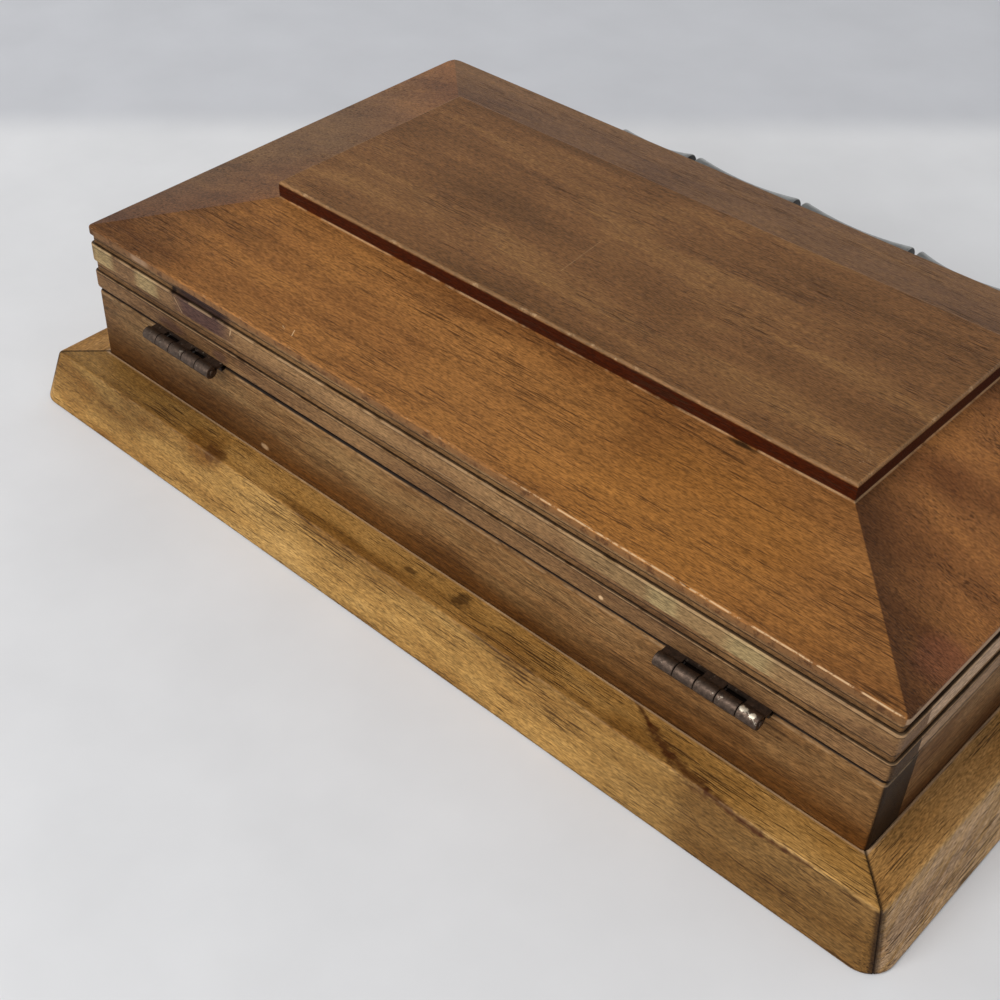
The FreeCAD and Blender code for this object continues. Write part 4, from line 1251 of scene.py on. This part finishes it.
class TRINKETBOX_OT_floor(Operator):
    """Plywood bottom and the felt laid on it"""
    bl_idname = "trinket_box.floor"
    bl_label = "Floor"

    def execute(self, context):
        sizes = context.scene.trinket_sizes
        colours = context.scene.trinket_colours
        dress_node("bottom_panel", birch_ply(colours))
        low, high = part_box("floor_felt")
        span = high - low
        mesh = bmesh.new()
        columns, rows = [round(side / FELT_CELL) for side in span.xy]
        bmesh.ops.create_grid(mesh, x_segments=columns, y_segments=rows, size=0.5)
        bmesh.ops.scale(mesh, vec=(span.x, span.y, 1.0), verts=mesh.verts)
        for vert in mesh.verts:
            vert.co.z = low.z + sizes.felt_wave * (1 + noise.noise(vert.co / FELT_WAVE_RUN))
        felt = piece_from(mesh, "floor_felt", "wool", wool_felt(colours), "base")
        thick = felt.modifiers.new("thickness", "SOLIDIFY")
        thick.thickness = span.z - 2 * sizes.felt_wave
        thick.offset = 1.0
        return {"FINISHED"}


class TRINKETBOX_OT_stage(Operator):
    """Pale paper floor, soft light and the camera"""
    bl_idname = "trinket_box.stage"
    bl_label = "Stage"

    def execute(self, context):
        scene = context.scene
        mesh = bmesh.new()
        bmesh.ops.create_grid(mesh, x_segments=1, y_segments=1, size=6.0)
        data = bpy.data.meshes.new("paper_floor")
        mesh.to_mesh(data)
        mesh.free()
        data.materials.append(matt_paper(scene.trinket_colours))
        paper = bpy.data.objects.new("paper_floor", data)
        scene.collection.objects.link(paper)
        self.room(scene)
        self.lamp("window_light", place=(0.35, 1.5, 1.4), size=1.5, power=32.0)
        self.camera(scene)
        scene.view_settings.view_transform = "Standard"
        return {"FINISHED"}

    def room(self, scene):
        """Pale walls low down, dimmer overhead."""
        world = bpy.data.worlds.new("pale_room")
        world.use_nodes = True
        tree = world.node_tree
        tree.nodes.clear()
        place = add(tree, "TexCoord")
        rise = add(tree, "SeparateXYZ", place.outputs["Object"]).outputs["Z"]
        dim = add(tree, "MapRange", rise, settings={"interpolation_type": "SMOOTHSTEP"},
                  From_Min=0.25, From_Max=0.6, To_Min=1.15, To_Max=0.3)
        light = add(tree, "Background", Color=(0.97, 0.98, 1.0, 1.0), Strength=dim)
        add(tree, "OutputWorld", light)
        scene.world = world

    def lamp(self, name, place, size, power):
        """A square soft lamp that looks at the box."""
        data = bpy.data.lights.new(name, "AREA")
        data.shape = "SQUARE"
        data.size = size
        data.energy = power
        lamp = bpy.data.objects.new(name, data)
        lamp.location = place
        lamp.rotation_euler = (-Vector(place)).to_track_quat("-Z", "Y").to_euler()
        bpy.context.scene.collection.objects.link(lamp)

    def camera(self, scene):
        """The photograph's viewpoint over the box's back left corner."""
        data = bpy.data.cameras.new("photo_camera")
        data.sensor_width = 36.0
        data.lens = 55.41
        data.shift_x = 0.055
        data.shift_y = 0.0372
        camera = bpy.data.objects.new("photo_camera", data)
        place = Vector((-0.18188, 0.25454, 0.25711))
        right = Vector((-0.72402, -0.68971, 0.00907))
        up = Vector((0.46765, -0.48116, 0.74148))
        turn = Matrix((right, up, right.cross(up))).transposed().to_4x4()
        camera.matrix_world = Matrix.Translation(place) @ turn
        scene.collection.objects.link(camera)
        scene.camera = camera


class TRINKETBOX_PT_build(Panel):
    """Lists the box's pieces"""
    bl_idname = "TRINKETBOX_PT_build"
    bl_label = "Trinket Box"
    bl_space_type = "VIEW_3D"
    bl_region_type = "UI"
    bl_category = "Trinket Box"

    def draw(self, context):
        for operator in OPERATORS:
            self.layout.operator(operator.bl_idname)


OPERATORS = (TRINKETBOX_OT_plinth, TRINKETBOX_OT_body, TRINKETBOX_OT_rim, TRINKETBOX_OT_lid_board,
             TRINKETBOX_OT_hinges, TRINKETBOX_OT_pull, TRINKETBOX_OT_floor, TRINKETBOX_OT_stage)
CLASSES = (TrinketBoxSizes, TrinketBoxColours) + OPERATORS + (TRINKETBOX_PT_build,)


def register():
    """Make the box's settings, operators and panel known to Blender."""
    for cls in CLASSES:
        bpy.utils.register_class(cls)
    bpy.types.Scene.trinket_sizes = PointerProperty(type=TrinketBoxSizes)
    bpy.types.Scene.trinket_colours = PointerProperty(type=TrinketBoxColours)


def unregister():
    """Take them out again."""
    del bpy.types.Scene.trinket_colours
    del bpy.types.Scene.trinket_sizes
    for cls in reversed(CLASSES):
        bpy.utils.unregister_class(cls)


def main():
    """Build the box piece by piece."""
    register()
    bpy.ops.trinket_box.plinth()
    bpy.ops.trinket_box.body()
    bpy.ops.trinket_box.rim()
    bpy.ops.trinket_box.lid_board()
    bpy.ops.trinket_box.hinges()
    bpy.ops.trinket_box.pull()
    bpy.ops.trinket_box.floor()
    bpy.ops.trinket_box.stage()


if __name__ == "__main__":
    main()
